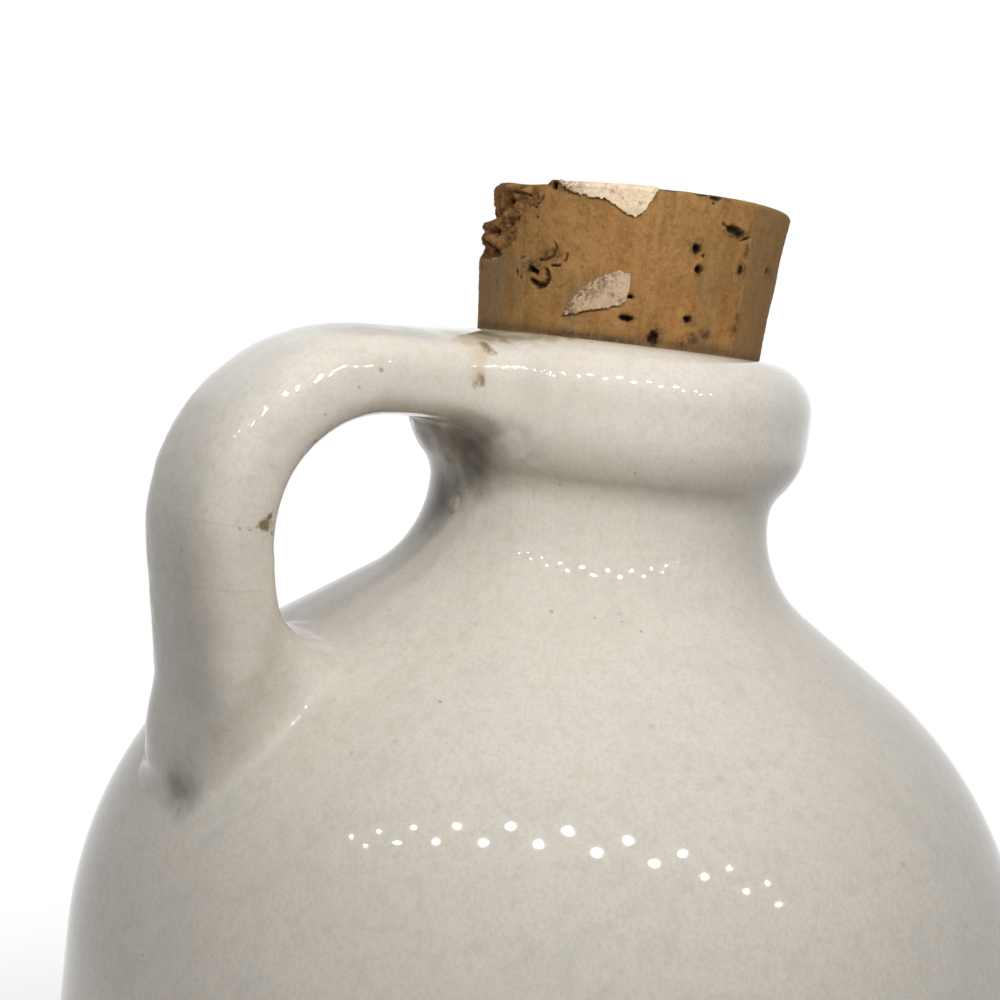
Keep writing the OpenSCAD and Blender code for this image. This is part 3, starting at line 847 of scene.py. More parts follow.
def melted_field(xs, ys, zs, step):
    """Distance from the handle with its joints to the clay, at each point of a grid."""
    x, y, z = np.meshgrid(xs, ys, zs, indexing="ij")
    strap = roughened(strap_field(xs, ys, zs), x, y, z)
    r = np.hypot(x, y)
    clay = clay_distance(r, z)
    of_r, of_z = clay_slope(r, z, 0.05)
    sx, sy, sz = np.gradient(strap, step)
    agree = ((sx * x + sy * y) / r * of_r + sz * of_z) / (np.sqrt(sx**2 + sy**2 + sz**2) + 1e-9)
    toe = smooth(x, -46, -52) * smooth(z, 122, 114) * smooth(y, -9.5, -4) * smooth(y, 17, 11)
    melt = MELT + MELT_AT_ROOT * smooth(z, 128, 144) + MELT_AT_TOE * toe
    melt = melt * (0.12 + 0.88 * smooth(agree, 0.95, 0.45))
    sink = SKIRT_SUNK + SKIRT_FALL * smooth(strap, 1.8, 10) ** 1.5
    field = soft_least(clay + sink, strap, melt)
    field = soft_least(field, gap_from(CLAY_DROP, x, y, z, CLAY_DROP_TALL) - CLAY_DROP_R, 1.0)
    field = field + THUMB_DEPTH * np.exp(-((gap_from(THUMB_MARK, x, y, z) / THUMB_R) ** 2))
    return np.maximum(np.maximum(field, -(clay + SKIRT_DEPTH)), SKIRT_IN_R - r)


def handle_shape(step):
    """The strap, melted into the lip and the shoulder, with a thin skirt that sinks into the clay."""
    xs, ys, zs = (np.arange(low, high, step) for low, high in HANDLE_BOX)
    field = melted_field(xs, ys, zs, step)
    points, quads, normals = surface_nets(field, np.array([xs[0], ys[0], zs[0]]), step)
    x, y, z = points.T
    r = np.hypot(x, y)
    out, rise = clay_slope(r, z, 0.02)
    of_clay = np.stack([out * x / r, out * y / r, rise], 1)
    share = (smooth(clay_distance(r, z), 0.08, 0.01) * ((of_clay * normals).sum(1) > 0.9))[:, None]
    normals = normals * (1 - share) + of_clay * share
    normals /= np.linalg.norm(normals, axis=1)[:, None]
    return points, quads, normals


# Cork: places on its side are an azimuth in degrees and a height above the lip in millimetres

# Millimetres along the cork's side for each degree round it
SIDE_STEP = math.pi / 180 * 18.6
# How far the cork's top edge is rounded and its foot's edge is cut, and where it comes into sight
CORK_EDGE = 0.55
CORK_FOOT_EDGE = 0.5
HIDDEN_TO_Z = -0.6
# Azimuths from, to, and how many: closer together where the photo shows the cork; then its rows of points
CORK_SPANS = (138, 322, 400), (322, 498, 84)
FOOT_ROWS, HIDDEN_ROWS, SIDE_ROWS, EDGE_ROWS, TOP_ROWS = 7, 10, 125, 5, 61
CORK_MARKS = ("crumb", "pits_and_deep_shade", "crack", "smudge")
# Dark pits: azimuth, height, half width, half height, depth
PITS = [
    (254.1, 11.4, 0.58, 0.55, 0.9), (257.0, 10.8, 0.22, 0.2, 0.4), (256.2, 9.1, 0.5, 0.55, 0.9),
    (275.0, 9.9, 0.55, 0.5, 0.5), (232.6, 5.2, 0.5, 0.32, 0.7), (231.9, 2.8, 0.85, 0.38, 0.8),
    (255.2, 3.5, 0.6, 0.38, 0.8), (243.1, 0.9, 0.7, 0.8, 0.7), (293.8, 10.5, 0.5, 0.4, 0.5),
    (302.7, 9.5, 0.4, 0.8, 0.6), (193.2, 7.3, 0.65, 0.4, 1.3), (195.2, 7.0, 0.4, 0.3, 1.0),
    (185.8, 6.8, 0.18, 0.4, 0.4), (188.2, 6.2, 0.2, 0.3, 0.4), (194.3, 13.1, 0.12, 0.22, 0.3),
    (156.7, 7.4, 0.4, 0.5, 0.5), (176.2, 14.7, 0.75, 0.6, 2.6), (181.3, 12.8, 0.4, 0.5, 1.8),
    (172.1, 12.5, 0.25, 0.25, 0.9), (176.6, 12.4, 0.3, 0.22, 0.9), (167.1, 11.4, 0.5, 0.5, 1.9),
    (181.5, 10.7, 0.7, 0.45, 1.5), (193.0, 14.3, 0.35, 0.25, 1.0), (200.7, 16.6, 0.4, 0.5, 1.0),
    (237.0, 17.5, 0.9, 0.25, 0.3), (241.7, 17.4, 0.7, 0.2, 0.3), (252.7, 17.4, 0.9, 0.22, 0.4),
    (258.0, 17.2, 0.9, 0.25, 0.4), (257.4, 16.6, 0.2, 0.15, 0.2), (20, 6, 0.7, 0.5, 0.8),
    (48, 12, 0.5, 0.6, 0.8), (75, 4, 0.6, 0.4, 0.7), (98, 9, 0.9, 0.4, 0.9), (120, 13, 0.5, 0.5, 0.8),
    (341, 5, 0.5, 0.7, 0.8), (326, 12, 0.6, 0.4, 0.7), (112, 3, 0.5, 0.5, 0.7), (5, 13, 0.8, 0.4, 0.8),
]
# Lines cut into the side: half width, depth, and the places they pass
CRACKS = [
    (0.11, 0.35, [(196.6, 8.3), (199.5, 8.4), (202.4, 8.85), (203.5, 9.8), (202.7, 10.3)]),
    (0.12, 0.4, [(202.1, 7.75), (205.4, 7.9)]),
    (0.12, 0.4, [(207.0, 8.4), (207.7, 8.7), (207.9, 9.2)]),
    (0.06, 0.15, [(187.8, 8.4), (190.0, 8.7)]),
    (0.10, 0.3, [(178.8, 16.0), (184, 15.9), (188.1, 15.6)]),
    (0.10, 0.4, [(193.0, 14.3), (194.5, 14.7), (196.3, 15.4)]),
    (0.16, 0.9, [(178.3, 10.3), (176.0, 9.0), (173.4, 8.3), (171.5, 8.8), (163, 9.9), (157, 10.6)]),
    (0.27, 0.9, [(193.9, 5.95), (196.7, 5.4), (199.6, 5.6), (201.0, 6.3), (200.0, 7.1)]),
    (0.10, 0.4, [(262.6, 14.7), (265.5, 14.3), (268, 14.2)]),
    (0.34, 0.9, [(267.0, 14.25), (269.5, 14.05), (272.5, 13.8)]),
    (0.12, 0.5, [(270.5, 13.6), (272.8, 13.2), (276.7, 13.7)]),
]
# Knobs standing out of the broken place: azimuth, height, half width, half height, rise
LUMPS = [
    (175.8, 16.3, 1.3, 0.9, 0.9), (173.0, 13.4, 1.2, 1.0, 0.9), (178.0, 13.4, 0.8, 0.7, 0.6),
    (185.2, 15.9, 1.1, 0.7, 0.7), (193.9, 15.5, 0.9, 0.6, 0.5), (184.0, 11.9, 0.6, 0.6, 0.6),
    (165.0, 10.6, 2.2, 1.0, 1.0), (170.1, 9.9, 1.4, 0.8, 0.8), (155.0, 10.8, 2.4, 1.1, 1.0),
    (164.0, 12.3, 1.8, 0.8, 0.8), (152.0, 12.4, 2.2, 0.8, 0.8), (197.2, 6.35, 0.6, 0.5, 0.5),
]
# Dark smudges: azimuth, height, half width, half height
SMUDGES = [
    (254.0, 11.4, 1.2, 1.1), (256.2, 9.0, 0.8, 0.9), (275.8, 9.9, 1.2, 1.2), (276.3, 12.0, 0.6, 1.2),
    (278.2, 4.5, 0.7, 0.7), (277.7, 3.1, 1.0, 0.8), (254.5, 0.8, 1.3, 0.9), (258.2, 1.5, 1.3, 0.8),
    (263.9, 2.2, 1.3, 0.7), (269.5, 13.9, 2.3, 0.8), (255.3, 3.5, 0.9, 0.7), (243.1, 1.3, 1.3, 1.4),
    (232.0, 2.9, 1.2, 0.7), (193.5, 7.5, 1.8, 1.2), (202.0, 9.0, 1.8, 1.0), (239.5, 17.5, 2.2, 0.6),
    (256.0, 17.4, 3.4, 0.6), (296.2, 10.6, 1.2, 1.0), (215.0, 0.2, 5.0, 0.7), (228.0, 0.1, 4.0, 0.6),
    (199.0, 17.2, 1.5, 0.7), (210.0, 16.4, 3.0, 0.6), (171.0, 14.8, 1.4, 1.0),
]
# Edge of the broken place at the top, as azimuth and lowest sound height
BROKEN_EDGE = [(118, 14.5), (127, 12.0), (134, 9.6), (150, 8.1), (169.4, 8.3), (175.5, 9.1), (181.1, 10.1),
               (184.0, 11.4), (185.5, 12.8), (188.7, 13.8), (193.2, 14.6), (196.4, 15.9), (198.6, 18.0)]
# The seam along the side, as heights and azimuths, and the knob on the top edge
SEAM, EDGE_KNOB = ([0, 9, 17], [279.4, 278.6, 277.5]), (200.6, 17.3)


def off_centre(theta, z, azimuth, height, half_w=1, half_h=1):
    """Distance from a place on the cork's side, in shares of its half width and half height."""
    return np.hypot((theta - azimuth) * SIDE_STEP / half_w, (z - height) / half_h)


def along(theta, z, path):
    """Distance in millimetres from a line drawn on the cork's side."""
    best = np.full(theta.shape, FAR)
    p = np.stack([theta * SIDE_STEP, z], -1)
    path = np.array(path) * [SIDE_STEP, 1]
    for a, b in zip(path[:-1], path[1:]):
        t = np.clip(((p - a) @ (b - a)) / ((b - a) @ (b - a)), 0, 1)
        best = np.minimum(best, np.linalg.norm(p - a - t[..., None] * (b - a), axis=-1))
    return best


def around(theta, r, z):
    """Points round the jug's axis from azimuths, radii and heights."""
    a = np.radians(theta)
    return np.stack([r * np.cos(a), r * np.sin(a), z], -1)


def cork_r(z):
    """Radius of the cork's tapered side at a height above the lip."""
    return CORK_R + CORK_TAPER * (z - CORK_OUT)


def cork_rim_z(theta, r):
    """Height of the cork's slanted top above the lip, a little raised at the broken edge."""
    swell = 0.8 * smooth(theta, 188, 160) * smooth(theta, 105, 132) * smooth(r, 8, 15)
    knob = 0.3 * smooth(np.abs(theta - EDGE_KNOB[0]), 3.5, 1) * smooth(r, 15, 18)
    return CORK_OUT + r * CORK_SLANT * np.cos(np.radians(theta) - CORK_SLANT_TOWARDS) + swell + knob


def cork_grid():
    """The sound cork in rows: azimuth, radius, height, and 0 where it is hidden, 1 at its side, 2 on top."""
    theta = np.sort(np.concatenate([np.linspace(*span, endpoint=False) for span in CORK_SPANS]) % 360)
    foot, top = CORK_OUT - CORK_LENGTH, cork_rim_z(theta, CORK_R)
    foot_r = CORK_R - CORK_NARROWING / 2 - CORK_FOOT_EDGE
    rows = [(r, foot, 0) for r in np.linspace(0, foot_r, FOOT_ROWS)]
    rows += [(cork_r(z), z, 0) for z in np.linspace(foot + CORK_FOOT_EDGE, HIDDEN_TO_Z, HIDDEN_ROWS)]
    for s in np.linspace(0, 1, SIDE_ROWS + 1)[1:]:
        z = HIDDEN_TO_Z + (top - CORK_EDGE - HIDDEN_TO_Z) * s
        rows.append((cork_r(z), z, 1))
    for a in np.linspace(0, math.pi / 2, EDGE_ROWS + 1)[1:]:
        z = top - CORK_EDGE + CORK_EDGE * math.sin(a)
        rows.append((cork_r(z) - CORK_EDGE * (1 - math.cos(a)), z, 1))
    rim = rows[-1][0]
    for s in np.linspace(0, 1, TOP_ROWS + 1)[1:] ** 0.9:
        rows.append((rim * (1 - s), cork_rim_z(theta, rim * (1 - s)), 2))
    columns = ([np.broadcast_to(value, theta.shape) for value in column] for column in zip(*rows))
    r, z, part = (np.array(column) for column in columns)
    return np.tile(theta, (len(rows), 1)), r, z, part


def crumbled(theta, z, lumps, ridges):
    """Depth of the broken place, deeper on its shelf and calmer at the top edge."""
    away = smooth(theta, 128, 150)
    shelf = smooth(z, 12.7, 13.8) * smooth(theta, 176, 166) * (0.75 + 0.25 * smooth(z, 15.2, 14.2))
    calm = smooth(z, 16.6, 15.0) * 0.7 + 0.3
    ridged = 1 - np.abs(ridges * 2 - 1) * 2
    return 0.45 + 1.15 * shelf + 0.2 * away + calm * (1.2 * (lumps - 0.42) + 0.35 * np.clip(ridged, -0.3, 1))


def cork_shape():
    """Points, faces and marks of the worn cork."""
    theta, r, z, part = cork_grid()
    spot = around(theta, r, z)
    worn, below_top, on_top = part > 0, part < 2, part == 2

    def rough(scale, octaves, seed):
        return fbm(spot * scale, octaves, seed)

    ragged = np.interp(theta, *zip(*BROKEN_EDGE), left=30, right=30) + rough(1.3, 3, 11) - 0.5
    crumb = smooth(z - ragged, -0.1, 0.35) * worn * smooth(r, CORK_R - 6, CORK_R - 2.5)
    lumps = rough(0.75, 4, 17)
    inset = crumb * crumbled(theta, z, lumps, rough(0.9, 3, 23))
    for *place, rise in LUMPS:
        knob = smooth(off_centre(theta, z, *place), 1.15, 0.2) * rise * below_top
        inset = inset - knob * np.maximum(crumb, z < 8)
    inset = np.maximum(inset, 0.05 * crumb)
    wobble = (rough(0.16, 2, 3) - 0.5) * 0.35 + (rough(0.5, 3, 4) - 0.5) * 0.12
    grain = (rough(2.6, 2, 9) - 0.5) * 0.09
    inset = inset + smooth(z, -0.2, 0.4) * np.clip(0.12 + wobble + grain, 0, 1)
    pits_and_deep_shade, crack, smudge = np.zeros((3, *r.shape))
    jitter = (rough(2.4, 2, 41) - 0.5) * 0.9
    for *place, depth in PITS:
        gap = off_centre(theta, z, *place) + jitter
        pits_and_deep_shade = np.maximum(pits_and_deep_shade, smooth(gap, 1.12, 0.72) * below_top)
        inset = inset + smooth(gap, 1.25, 0.3) * depth * below_top
    waver = rough(3.0, 2, 51) - 0.5
    for half, depth, path in CRACKS:
        gap = along(theta, z, path) + waver * half * 1.4
        cut = smooth(gap, half * 1.7, half * 0.6) * below_top
        crack = np.maximum(crack, cut)
        inset = inset + cut * depth
    for place in SMUDGES:
        smudge = np.maximum(smudge, smooth(off_centre(theta, z, *place), 1.2, 0.3) * below_top)
    # Painted shade: the deepest parts of the break take the pits' dark colour
    pits_and_deep_shade = np.maximum(pits_and_deep_shade, smooth(inset, 1.9, 2.7) * crumb * 0.85)
    seam = np.interp(z, *SEAM)
    inset = inset + smooth(theta, seam, seam + 0.6) * smooth(theta, 320, 300) * (part == 1) * 0.13
    inset = inset - smooth(off_centre(theta, z, *EDGE_KNOB), 0.9, 0.2) * 0.35 * worn
    fall = np.where(on_top, smooth(r, CORK_R - 7, CORK_R - 1), 1.0)
    new_r = np.maximum(r - inset * fall * worn, 0)
    dip = on_top * (np.clip(0.1 + (rough(0.35, 3, 61) - 0.5) * 0.5, 0, 1) + 0.12 * rough(2.2, 2, 62))
    dip = dip + np.clip(crumb * on_top * 0.9 * (lumps - 0.5), 0, 2)
    pore = on_top * smooth(rough(0.9, 3, 71), 0.66, 0.74)
    pits_and_deep_shade = np.maximum(pits_and_deep_shade, pore * 0.8)
    points = (around(theta, new_r, z - dip - pore * 0.5) + LIP_MIDDLE).reshape(-1, 3)
    points, faces, keep = close_poles(points, grid_faces(*r.shape, True), r.shape[1])
    return points, faces, [mark.reshape(-1)[keep] for mark in (crumb, pits_and_deep_shade, crack, smudge)]


def close_poles(points, faces, columns):
    """One point in place of the first row and one in place of the last, where they have come together."""
    remap = np.arange(len(points))
    for start in (0, len(points) - columns):
        points[start] = points[start:start + columns].mean(0)
        remap[start:start + columns] = start
    keep = np.unique(remap)
    place = np.full(len(points), -1)
    place[keep] = np.arange(len(keep))
    rings = ([v for k, v in enumerate(face) if v != face[k - 1]] for face in place[remap[faces]].tolist())
    return points[keep], [ring for ring in rings if len(ring) > 2], keep


# Paper: torn edges are given as azimuths, and heights or runs over the cork's top edge, in millimetres

# The leaf-shaped scrap on the cork's side
LEAF_TOP = ([207.8, 212.6, 217.6, 222.6, 227.7, 231.0, 231.8], [2.42, 4.64, 6.24, 7.4, 7.9, 7.7, 7.3])
LEAF_FOOT = ([207.8, 215.0, 220.4, 225.8, 230.9, 231.8], [2.37, 2.92, 3.43, 3.84, 4.47, 6.2])
# The folded scrap: how low it hangs at the side, and how far it runs over the top
FOLD_HANG = ([202.6, 206.3, 209.0, 214.5, 219.7, 224.4, 227.8, 230.9, 233.6, 235.5, 237.2],
             [17.2, 16.34, 16.06, 15.7, 15.56, 14.94, 14.2, 13.86, 14.83, 15.99, 17.2])
FOLD_RUN = ([202.6, 207, 214, 222, 230, 235, 237.2], [0.3, 2.6, 4.4, 3.9, 4.8, 2.4, 0.3])
CREAM_STAIN, CREAM_SPECKS = (0.60, 0.47, 0.28), (0.52, 0.20, 0.20)
GREY_STAIN, GREY_SPECKS = (0.44, 0.27, 0.14), (0.17, 0.11, 0.06)


def sheet_between(u, lower, upper, place, thickness, rows):
    """A thin closed sheet between two edges, each given as the sheet's second coordinate along u."""
    v = lower[None, :] + (upper - lower)[None, :] * np.linspace(0, 1, rows)[:, None]
    u = np.tile(u, (rows, 1))
    bottom, top = place(u, v, 0.0), place(u, v, thickness)
    n = u.shape[1]
    count = u.size
    faces = grid_faces(rows, n, False)
    rim = np.concatenate([np.arange(n), np.arange(1, rows) * n + n - 1,
                          (rows - 1) * n + np.arange(n - 2, -1, -1), np.arange(rows - 2, 0, -1) * n])
    nxt = np.roll(rim, -1)
    walls = np.stack([rim, nxt, nxt + count, rim + count], 1)
    return (np.concatenate([bottom.reshape(-1, 3), top.reshape(-1, 3)]),
            np.concatenate([faces[:, ::-1], faces + count, walls]))


def flat_noise(a, b, seed):
    """Noise over two coordinates."""
    return fbm(np.stack([a, b, np.zeros_like(b)], -1), 3, seed)


def torn(u, seed, depth, middle=0.5):
    """How far a torn edge strays from its line."""
    return (flat_noise(u, np.zeros_like(u), seed) - middle) * depth


def side_paper_shape(thickness):
    """The leaf-shaped scrap on the cork's side."""
    u = np.linspace(LEAF_TOP[0][0], LEAF_TOP[0][-1], 110)
    low = np.interp(u, *LEAF_FOOT) + torn(u * 1.6, 5, 0.45)
    high = np.maximum(np.interp(u, *LEAF_TOP) + torn(u * 1.6, 8, 0.5), low + 0.02)

    def place(theta, z, up):
        ripple = flat_noise(theta * 0.35 * 0.9, z * 0.9, 15)
        return around(theta, cork_r(z) - 0.12 + 0.16 * ripple + up, z) + LIP_MIDDLE

    return sheet_between(u, low, high, place, thickness, 40)


def top_paper_shape(thickness):
    """The scrap folded over the cork's top edge; its second coordinate is 0 at the rim and grows inwards."""
    u = np.linspace(FOLD_RUN[0][0], FOLD_RUN[0][-1], 170)
    rim = cork_rim_z(u, CORK_R)
    low = np.minimum(np.interp(u, *FOLD_HANG) + torn(u * 1.5, 25, 0.5), rim - 0.05) - rim
    high = np.interp(u, *FOLD_RUN) + torn(u * 1.5, 28, 0.5, 0.3)

    def place(theta, s, up):
        lift = -0.1 + 0.12 * flat_noise(theta * 0.3, s, 33) + up
        top = cork_rim_z(theta, CORK_R)
        edge_r = CORK_R - CORK_EDGE
        turn = np.clip((s + CORK_EDGE) / (2 * CORK_EDGE), 0, 1) * math.pi / 2
        over_r = edge_r - (s - CORK_EDGE)
        at_side = s < -CORK_EDGE, cork_r(top + np.minimum(s, 0)) + lift, top + s
        on_top = s > CORK_EDGE, over_r, cork_rim_z(theta, over_r) + lift
        r = edge_r + (CORK_EDGE + lift) * np.cos(turn)
        z = top - CORK_EDGE + (CORK_EDGE + lift) * np.sin(turn)
        for where, other_r, other_z in (at_side, on_top):
            r, z = np.where(where, other_r, r), np.where(where, other_z, z)
        return around(theta, r, z) + LIP_MIDDLE

    return sheet_between(u, low, high, place, thickness, 70)


def paper_soil(piece, leaf):
    """How soiled each point of a scrap is: the leaf along its upper edge, the folded one at its left."""
    x, y, z = (points_of(piece.data) / MM - LIP_MIDDLE).T
    theta = np.degrees(np.arctan2(y, x)) % 360
    if leaf:
        edge = smooth(np.interp(theta, *LEAF_TOP) - z, 3.0, 0.4) * smooth(theta, 231, 222)
        return np.maximum(edge, 0.55 * smooth(theta, 217, 209))
    return smooth(theta, 216, 204) * (0.4 + 0.6 * smooth(z, 13.5, 17.5))


# Settings

class JugLook(bpy.types.PropertyGroup):
    glaze_colour: FloatVectorProperty(
        name="Glaze", description="Colour of the glaze", subtype="COLOR", size=3,
        default=(0.715, 0.665, 0.585), min=0, max=1)
    mottling: FloatProperty(
        name="Mottling", description="Strength of the fine mottling", subtype="FACTOR",
        default=0.55, min=0, max=1)
    turned_sides: IntProperty(
        name="Sides", description="Facets round the turned body", default=256, min=64, max=320)


class HandleLook(bpy.types.PropertyGroup):
    grain: FloatProperty(
        name="Mesh Step", description="Size of the handle's mesh", default=0.00045, min=0.0003, max=0.001,
        precision=5, unit="LENGTH")


class CorkLook(bpy.types.PropertyGroup):
    cork_colour: FloatVectorProperty(
        name="Cork", description="Colour of the cork", subtype="COLOR", size=3,
        default=(0.35, 0.186, 0.062), min=0, max=1)


class PaperLook(bpy.types.PropertyGroup):
    thickness: FloatProperty(
        name="Thickness", description="Thickness of the paper", default=0.00022, min=0.0001, max=0.0004,
        precision=5, unit="LENGTH")
    top_colour: FloatVectorProperty(
        name="Top Scrap", description="Colour of the folded scrap", subtype="COLOR", size=3,
        default=(0.86, 0.69, 0.48), min=0, max=1)
    side_colour: FloatVectorProperty(
        name="Side Scrap", description="Colour of the leaf-shaped scrap", subtype="COLOR", size=3,
        default=(0.60, 0.44, 0.285), min=0, max=1)


class StageLook(bpy.types.PropertyGroup):
    key_power: FloatProperty(
        name="Key Lamp", description="Power of the bar lamp over the camera", default=0.3, min=0, max=20,
        unit="POWER")
    ambient: FloatProperty(
        name="Ambient", description="Brightness of the room", default=0.1, min=0, max=2)
    shadow_reach: FloatProperty(
        name="Shadow Reach", description="How far the floor keeps shadows", default=0.24, min=0.1, max=3,
        unit="LENGTH")


# Stage: places and sizes are in metres

# The camera's place, and the angles that it is turned left, tipped up and rolled, in degrees
CAMERA_PLACE = (-0.120741, -0.143736, 0.155827)
CAMERA_TURN, CAMERA_TIP, CAMERA_ROLL = -36.3266, -5.068, 6.8713
FOCAL_LENGTH, SENSOR_WIDTH = 54.0, 36.0
# The bar of small lamps over the camera, which stand in a zigzag and shine most at its middle
BAR_LAMPS, BAR_START, BAR_LENGTH = 20, -0.187, 0.35
BAR_MIDDLE, BAR_WAY = Vector((-0.0711, -0.1016, 0.243)), Vector((0.819, -0.574, -0.07))
BAR_ZIGZAG, BAR_GLOW, BAR_LAMP_SIZE = Vector((0.0035, 0.005, 0.0035)), 0.085, 0.006
BAR_SHARE_LOW, BAR_SHARE_MORE = 0.25, 1.5
# Weak lamps: name, place, size, share of the key's power, height they are aimed at, spread in degrees
FILLS = [
    ("back_fill", (0.50, 0.68, 0.20), (0.6, 0.4), 7.0, 0.09, 180),
    ("low_fill", (-0.26, -0.36, 0.05), (0.3, 0.06), 0.15, 0.02, 24),
]
BAR_AIM_Z = 0.12
FLOOR_HALF = 3.0


# Operators

class CROCK_OT_stage(bpy.types.Operator):
    """Sets the camera, the lamps, the room and the floor"""

    bl_idname = "crock.stage"
    bl_label = "Set Stage"

    def execute(self, context):
        scene, look = context.scene, context.scene.crock_stage
        self.camera(scene)
        for k in range(BAR_LAMPS):
            along_bar = BAR_START + BAR_LENGTH * k / (BAR_LAMPS - 1)
            place = BAR_MIDDLE + BAR_WAY * along_bar + BAR_ZIGZAG * (-1) ** k
            share = BAR_SHARE_LOW + BAR_SHARE_MORE * math.exp(-((along_bar / BAR_GLOW) ** 2))
            wide = BAR_LAMP_SIZE * math.sqrt(share / (BAR_SHARE_LOW + BAR_SHARE_MORE))
            power = look.key_power / BAR_LAMPS * share
            self.lamp(scene, f"bar_lamp_{k + 1}", place, (wide, wide), power, BAR_AIM_Z)
        for name, place, size, share, aim, spread in FILLS:
            light = self.lamp(scene, name, Vector(place), size, look.key_power * share, aim)
            light.visible_glossy = False
            light.data.spread = math.radians(spread)
        self.room(scene, look)
        corners = np.array([(-1, -1, 0), (1, -1, 0), (1, 1, 0), (-1, 1, 0)]) * FLOOR_HALF
        floor = make_mesh("floor", corners / MM, [(0, 1, 2, 3)], flat=True)
        floor.data.materials.append(floor_finish(look))
        return {"FINISHED"}

    @staticmethod
    def camera(scene):
        """The camera, held as the photo's was."""
        lens = bpy.data.cameras.new("camera")
        lens.lens, lens.sensor_width = FOCAL_LENGTH, SENSOR_WIDTH
        lens.clip_start, lens.clip_end = 0.01, 50
        camera = bpy.data.objects.new("camera", lens)
        turns = ((CAMERA_TURN, "Z"), (90 + CAMERA_TIP, "X"), (CAMERA_ROLL, "Z"))
        turned = [Matrix.Rotation(math.radians(angle), 4, axis) for angle, axis in turns]
        camera.matrix_world = reduce(lambda a, b: a @ b, turned, Matrix.Translation(Vector(CAMERA_PLACE)))
        scene.collection.objects.link(camera)
        scene.camera = camera
        scene.view_settings.view_transform = "Standard"

    @staticmethod
    def lamp(scene, name, place, size, power, aim_z):
        """A round or oval lamp that faces a height on the jug's axis."""
        light = bpy.data.lights.new(name, "AREA")
        light.shape, light.size, light.size_y, light.energy = "ELLIPSE", *size, power
        lamp = bpy.data.objects.new(name, light)
        lamp.location = place
        lamp.rotation_euler = (Vector((0, 0, aim_z)) - place).to_track_quat("-Z", "Y").to_euler()
        scene.collection.objects.link(lamp)
        return lamp

    @staticmethod
    def room(scene, look):
        """A dim room that is white where it is seen."""
        world = bpy.data.worlds.new("room")
        world.use_nodes = True
        scene.world = world
        w = Recipe(world.node_tree)
        dim = w.node("ShaderNodeBackground", {}, {"Color": WHITE, "Strength": look.ambient})
        white = w.node("ShaderNodeBackground", {}, {"Color": WHITE, "Strength": 1.0})
        mixed = w.node("ShaderNodeMixShader", {}, {0: w.in_view(), 1: dim, 2: white})
        w.node("ShaderNodeOutputWorld", {}, {"Surface": mixed})


# Inputs of the tree that turns the body, each with its kind of socket
TURNING_INPUTS = {"Outline": "Geometry", "Sides": "Int", "Merge Distance": "Float", "Finish": "Material"}
MERGE_GAP = 2e-6
LEAST_VOLUME = 1e-5


class CROCK_OT_body(bpy.types.Operator):
    """Turns the jug's body from its outline with a node tree"""

    bl_idname = "crock.body"
    bl_label = "Turn Body"

    @staticmethod
    def turning_tree():
        """Node tree that turns an outline in the XZ plane into a closed body round Z."""
        tree = bpy.data.node_groups.new("turned_body", "GeometryNodeTree")
        add = tree.interface.new_socket
        sockets = {name: add(name, in_out="INPUT", socket_type="NodeSocket" + kind).identifier
                   for name, kind in TURNING_INPUTS.items()}
        add("Body", in_out="OUTPUT", socket_type="NodeSocketGeometry")
        t = Recipe(tree)
        outline = t.node("NodeGroupInput")
        sides, merge, finish = (outline.also(name) for name in ("Sides", "Merge Distance", "Finish"))
        count = {"component": "MESH"}
        rows = t.node("GeometryNodeAttributeDomainSize", count, {"Geometry": outline}, "Point Count")
        grid = t.node("GeometryNodeMeshGrid", {}, {"Vertices X": sides + 1.0, "Vertices Y": rows})
        index = t.node("GeometryNodeInputIndex")
        column = t.sum("FLOOR", index / rows)
        angle = column / sides * (2 * math.pi)
        sampled = {"Geometry": outline, "Value": t.node("GeometryNodeInputPosition"),
                   "Index": t.sum("ROUND", index - column * rows)}
        vectors = {"data_type": "FLOAT_VECTOR", "domain": "POINT"}
        spot = t.node("GeometryNodeSampleIndex", vectors, sampled, "Value")
        r = t.node("ShaderNodeSeparateXYZ", {}, {0: spot})
        turned = {"X": r * t.sum("COSINE", angle), "Y": r * t.sum("SINE", angle), "Z": r.also("Z")}
        place = t.node("ShaderNodeCombineXYZ", {}, turned)
        moved = t.node("GeometryNodeSetPosition", {}, {"Geometry": grid, "Position": place})
        closed = t.node("GeometryNodeMergeByDistance", {}, {"Geometry": moved, "Distance": merge})
        soft = t.node("GeometryNodeSetShadeSmooth", {}, {"Geometry": closed})
        real = t.node("GeometryNodeRealizeInstances", {}, {"Geometry": soft})
        coat = t.node("GeometryNodeSetMaterial", {}, {"Geometry": real, "Material": finish})
        t.node("NodeGroupOutput", {}, {0: coat})
        return tree, sockets

    def execute(self, context):
        look = context.scene.crock_jug
        tree, sockets = self.turning_tree()
        seed = make_mesh("outline", np.insert(jug_outline(), 1, 0, axis=1), [])
        modifier = seed.modifiers.new("turned", "NODES")
        modifier.node_group = tree
        modifier[sockets["Sides"]] = look.turned_sides
        modifier[sockets["Merge Distance"]] = MERGE_GAP
        modifier[sockets["Finish"]] = glaze_finish(look)
        context.view_layer.update()
        turned = seed.evaluated_get(context.evaluated_depsgraph_get())
        mesh = bpy.data.meshes.new_from_object(turned)
        bpy.data.objects.remove(seed)
        mesh.name = "jug_glazed_body"
        body = bpy.data.objects.new("jug_glazed_body", mesh)
        context.scene.collection.objects.link(body)
        volume = sum_volume(mesh)
        if volume < 0:
            mesh.flip_normals()
        if abs(volume) < LEAST_VOLUME:
            raise RuntimeError("the body didn't turn into a solid")
        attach(body, "jug")
        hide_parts("jug_body")
        return {"FINISHED"}


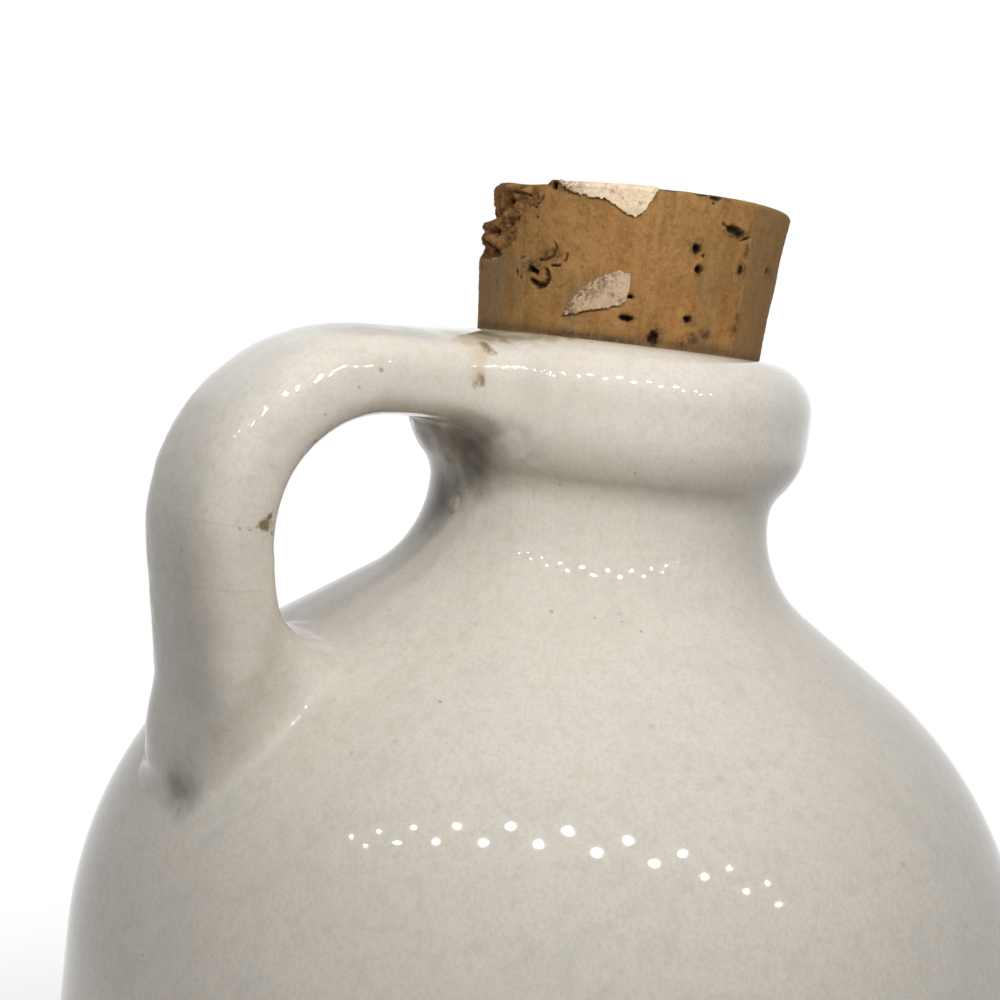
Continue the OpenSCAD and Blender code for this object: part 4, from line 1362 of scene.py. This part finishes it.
def sum_volume(mesh):
    """Signed volume of a closed mesh, positive where its faces point outwards."""
    mesh.calc_loop_triangles()
    tri = np.zeros(len(mesh.loop_triangles) * 3, int)
    mesh.loop_triangles.foreach_get("vertices", tri)
    a, b, c = points_of(mesh)[tri.reshape(-1, 3)].transpose(1, 0, 2)
    return float((a * np.cross(b, c)).sum() / 6)


def settle(piece, body, node, finish):
    """Gives a piece its finish, points its faces outwards and seats it on its body."""
    piece.data.materials.append(finish)
    if sum_volume(piece.data) < 0:
        piece.data.flip_normals()
    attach(piece, body)
    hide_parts(node)


class CROCK_OT_handle(bpy.types.Operator):
    """Pulls the loop handle and melts it into the lip and the shoulder"""

    bl_idname = "crock.handle"
    bl_label = "Pull Handle"

    def execute(self, context):
        points, quads, normals = handle_shape(context.scene.crock_handle.grain / MM)
        handle = make_mesh("jug_glazed_handle", points, quads)
        finish = bpy.data.materials.get("stoneware_glaze") or glaze_finish(context.scene.crock_jug)
        settle(handle, "jug", "handle", finish)
        handle.data.normals_split_custom_set_from_vertices(normals.tolist())
        return {"FINISHED"}


class CROCK_OT_cork(bpy.types.Operator):
    """Cuts and wears the tapered cork"""

    bl_idname = "crock.cork"
    bl_label = "Cut Cork"

    def execute(self, context):
        points, faces, marks = cork_shape()
        cork = make_mesh("worn_cork", points, faces)
        for name, values in zip(CORK_MARKS, marks):
            store(cork, name, values)
        settle(cork, "stopper", "cork", cork_finish(context.scene.crock_cork))
        return {"FINISHED"}


class CROCK_OT_papers(bpy.types.Operator):
    """Lays the two torn paper scraps on the cork"""

    bl_idname = "crock.papers"
    bl_label = "Lay Papers"

    def execute(self, context):
        look = context.scene.crock_paper
        thickness = look.thickness / MM
        folded = make_mesh("folded_paper_scrap", *top_paper_shape(thickness))
        leaf = make_mesh("leaf_paper_scrap", *side_paper_shape(thickness))
        store(folded, "soiled", paper_soil(folded, False))
        store(leaf, "soiled", paper_soil(leaf, True))
        cream = paper_finish("cream_paper", plain(look.top_colour), CREAM_STAIN, CREAM_SPECKS)
        grey = paper_finish("grey_paper", plain(look.side_colour), GREY_STAIN, GREY_SPECKS)
        settle(folded, "stopper", "top_paper", cream)
        settle(leaf, "stopper", "side_paper", grey)
        return {"FINISHED"}


class CROCK_PT_panel(bpy.types.Panel):
    """Settings and steps of the jug"""

    bl_label = "Crock Jug"
    bl_idname = "CROCK_PT_panel"
    bl_space_type = "VIEW_3D"
    bl_region_type = "UI"
    bl_category = "Crock Jug"

    def draw(self, context):
        layout, scene = self.layout, context.scene
        for step, (name, _) in zip(STEPS, GROUPS):
            box = layout.box()
            box.operator(step)
            group = getattr(scene, name)
            for key in group.__annotations__:
                box.prop(group, key)


GROUPS = [
    ("crock_stage", StageLook), ("crock_jug", JugLook), ("crock_handle", HandleLook),
    ("crock_cork", CorkLook), ("crock_paper", PaperLook),
]
STEPS = ["crock.stage", "crock.body", "crock.handle", "crock.cork", "crock.papers"]
CLASSES = [group for _, group in GROUPS] + [
    CROCK_OT_stage, CROCK_OT_body, CROCK_OT_handle, CROCK_OT_cork, CROCK_OT_papers, CROCK_PT_panel,
]


def register():
    for made in CLASSES:
        bpy.utils.register_class(made)
    for name, group in GROUPS:
        setattr(bpy.types.Scene, name, PointerProperty(type=group))


def unregister():
    for name, _ in GROUPS:
        delattr(bpy.types.Scene, name)
    for made in reversed(CLASSES):
        bpy.utils.unregister_class(made)


def main():
    """Makes every piece in order."""
    register()
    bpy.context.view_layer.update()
    for step in STEPS:
        group, name = step.split(".")
        getattr(getattr(bpy.ops, group), name)()


if __name__ == "__main__":
    main()
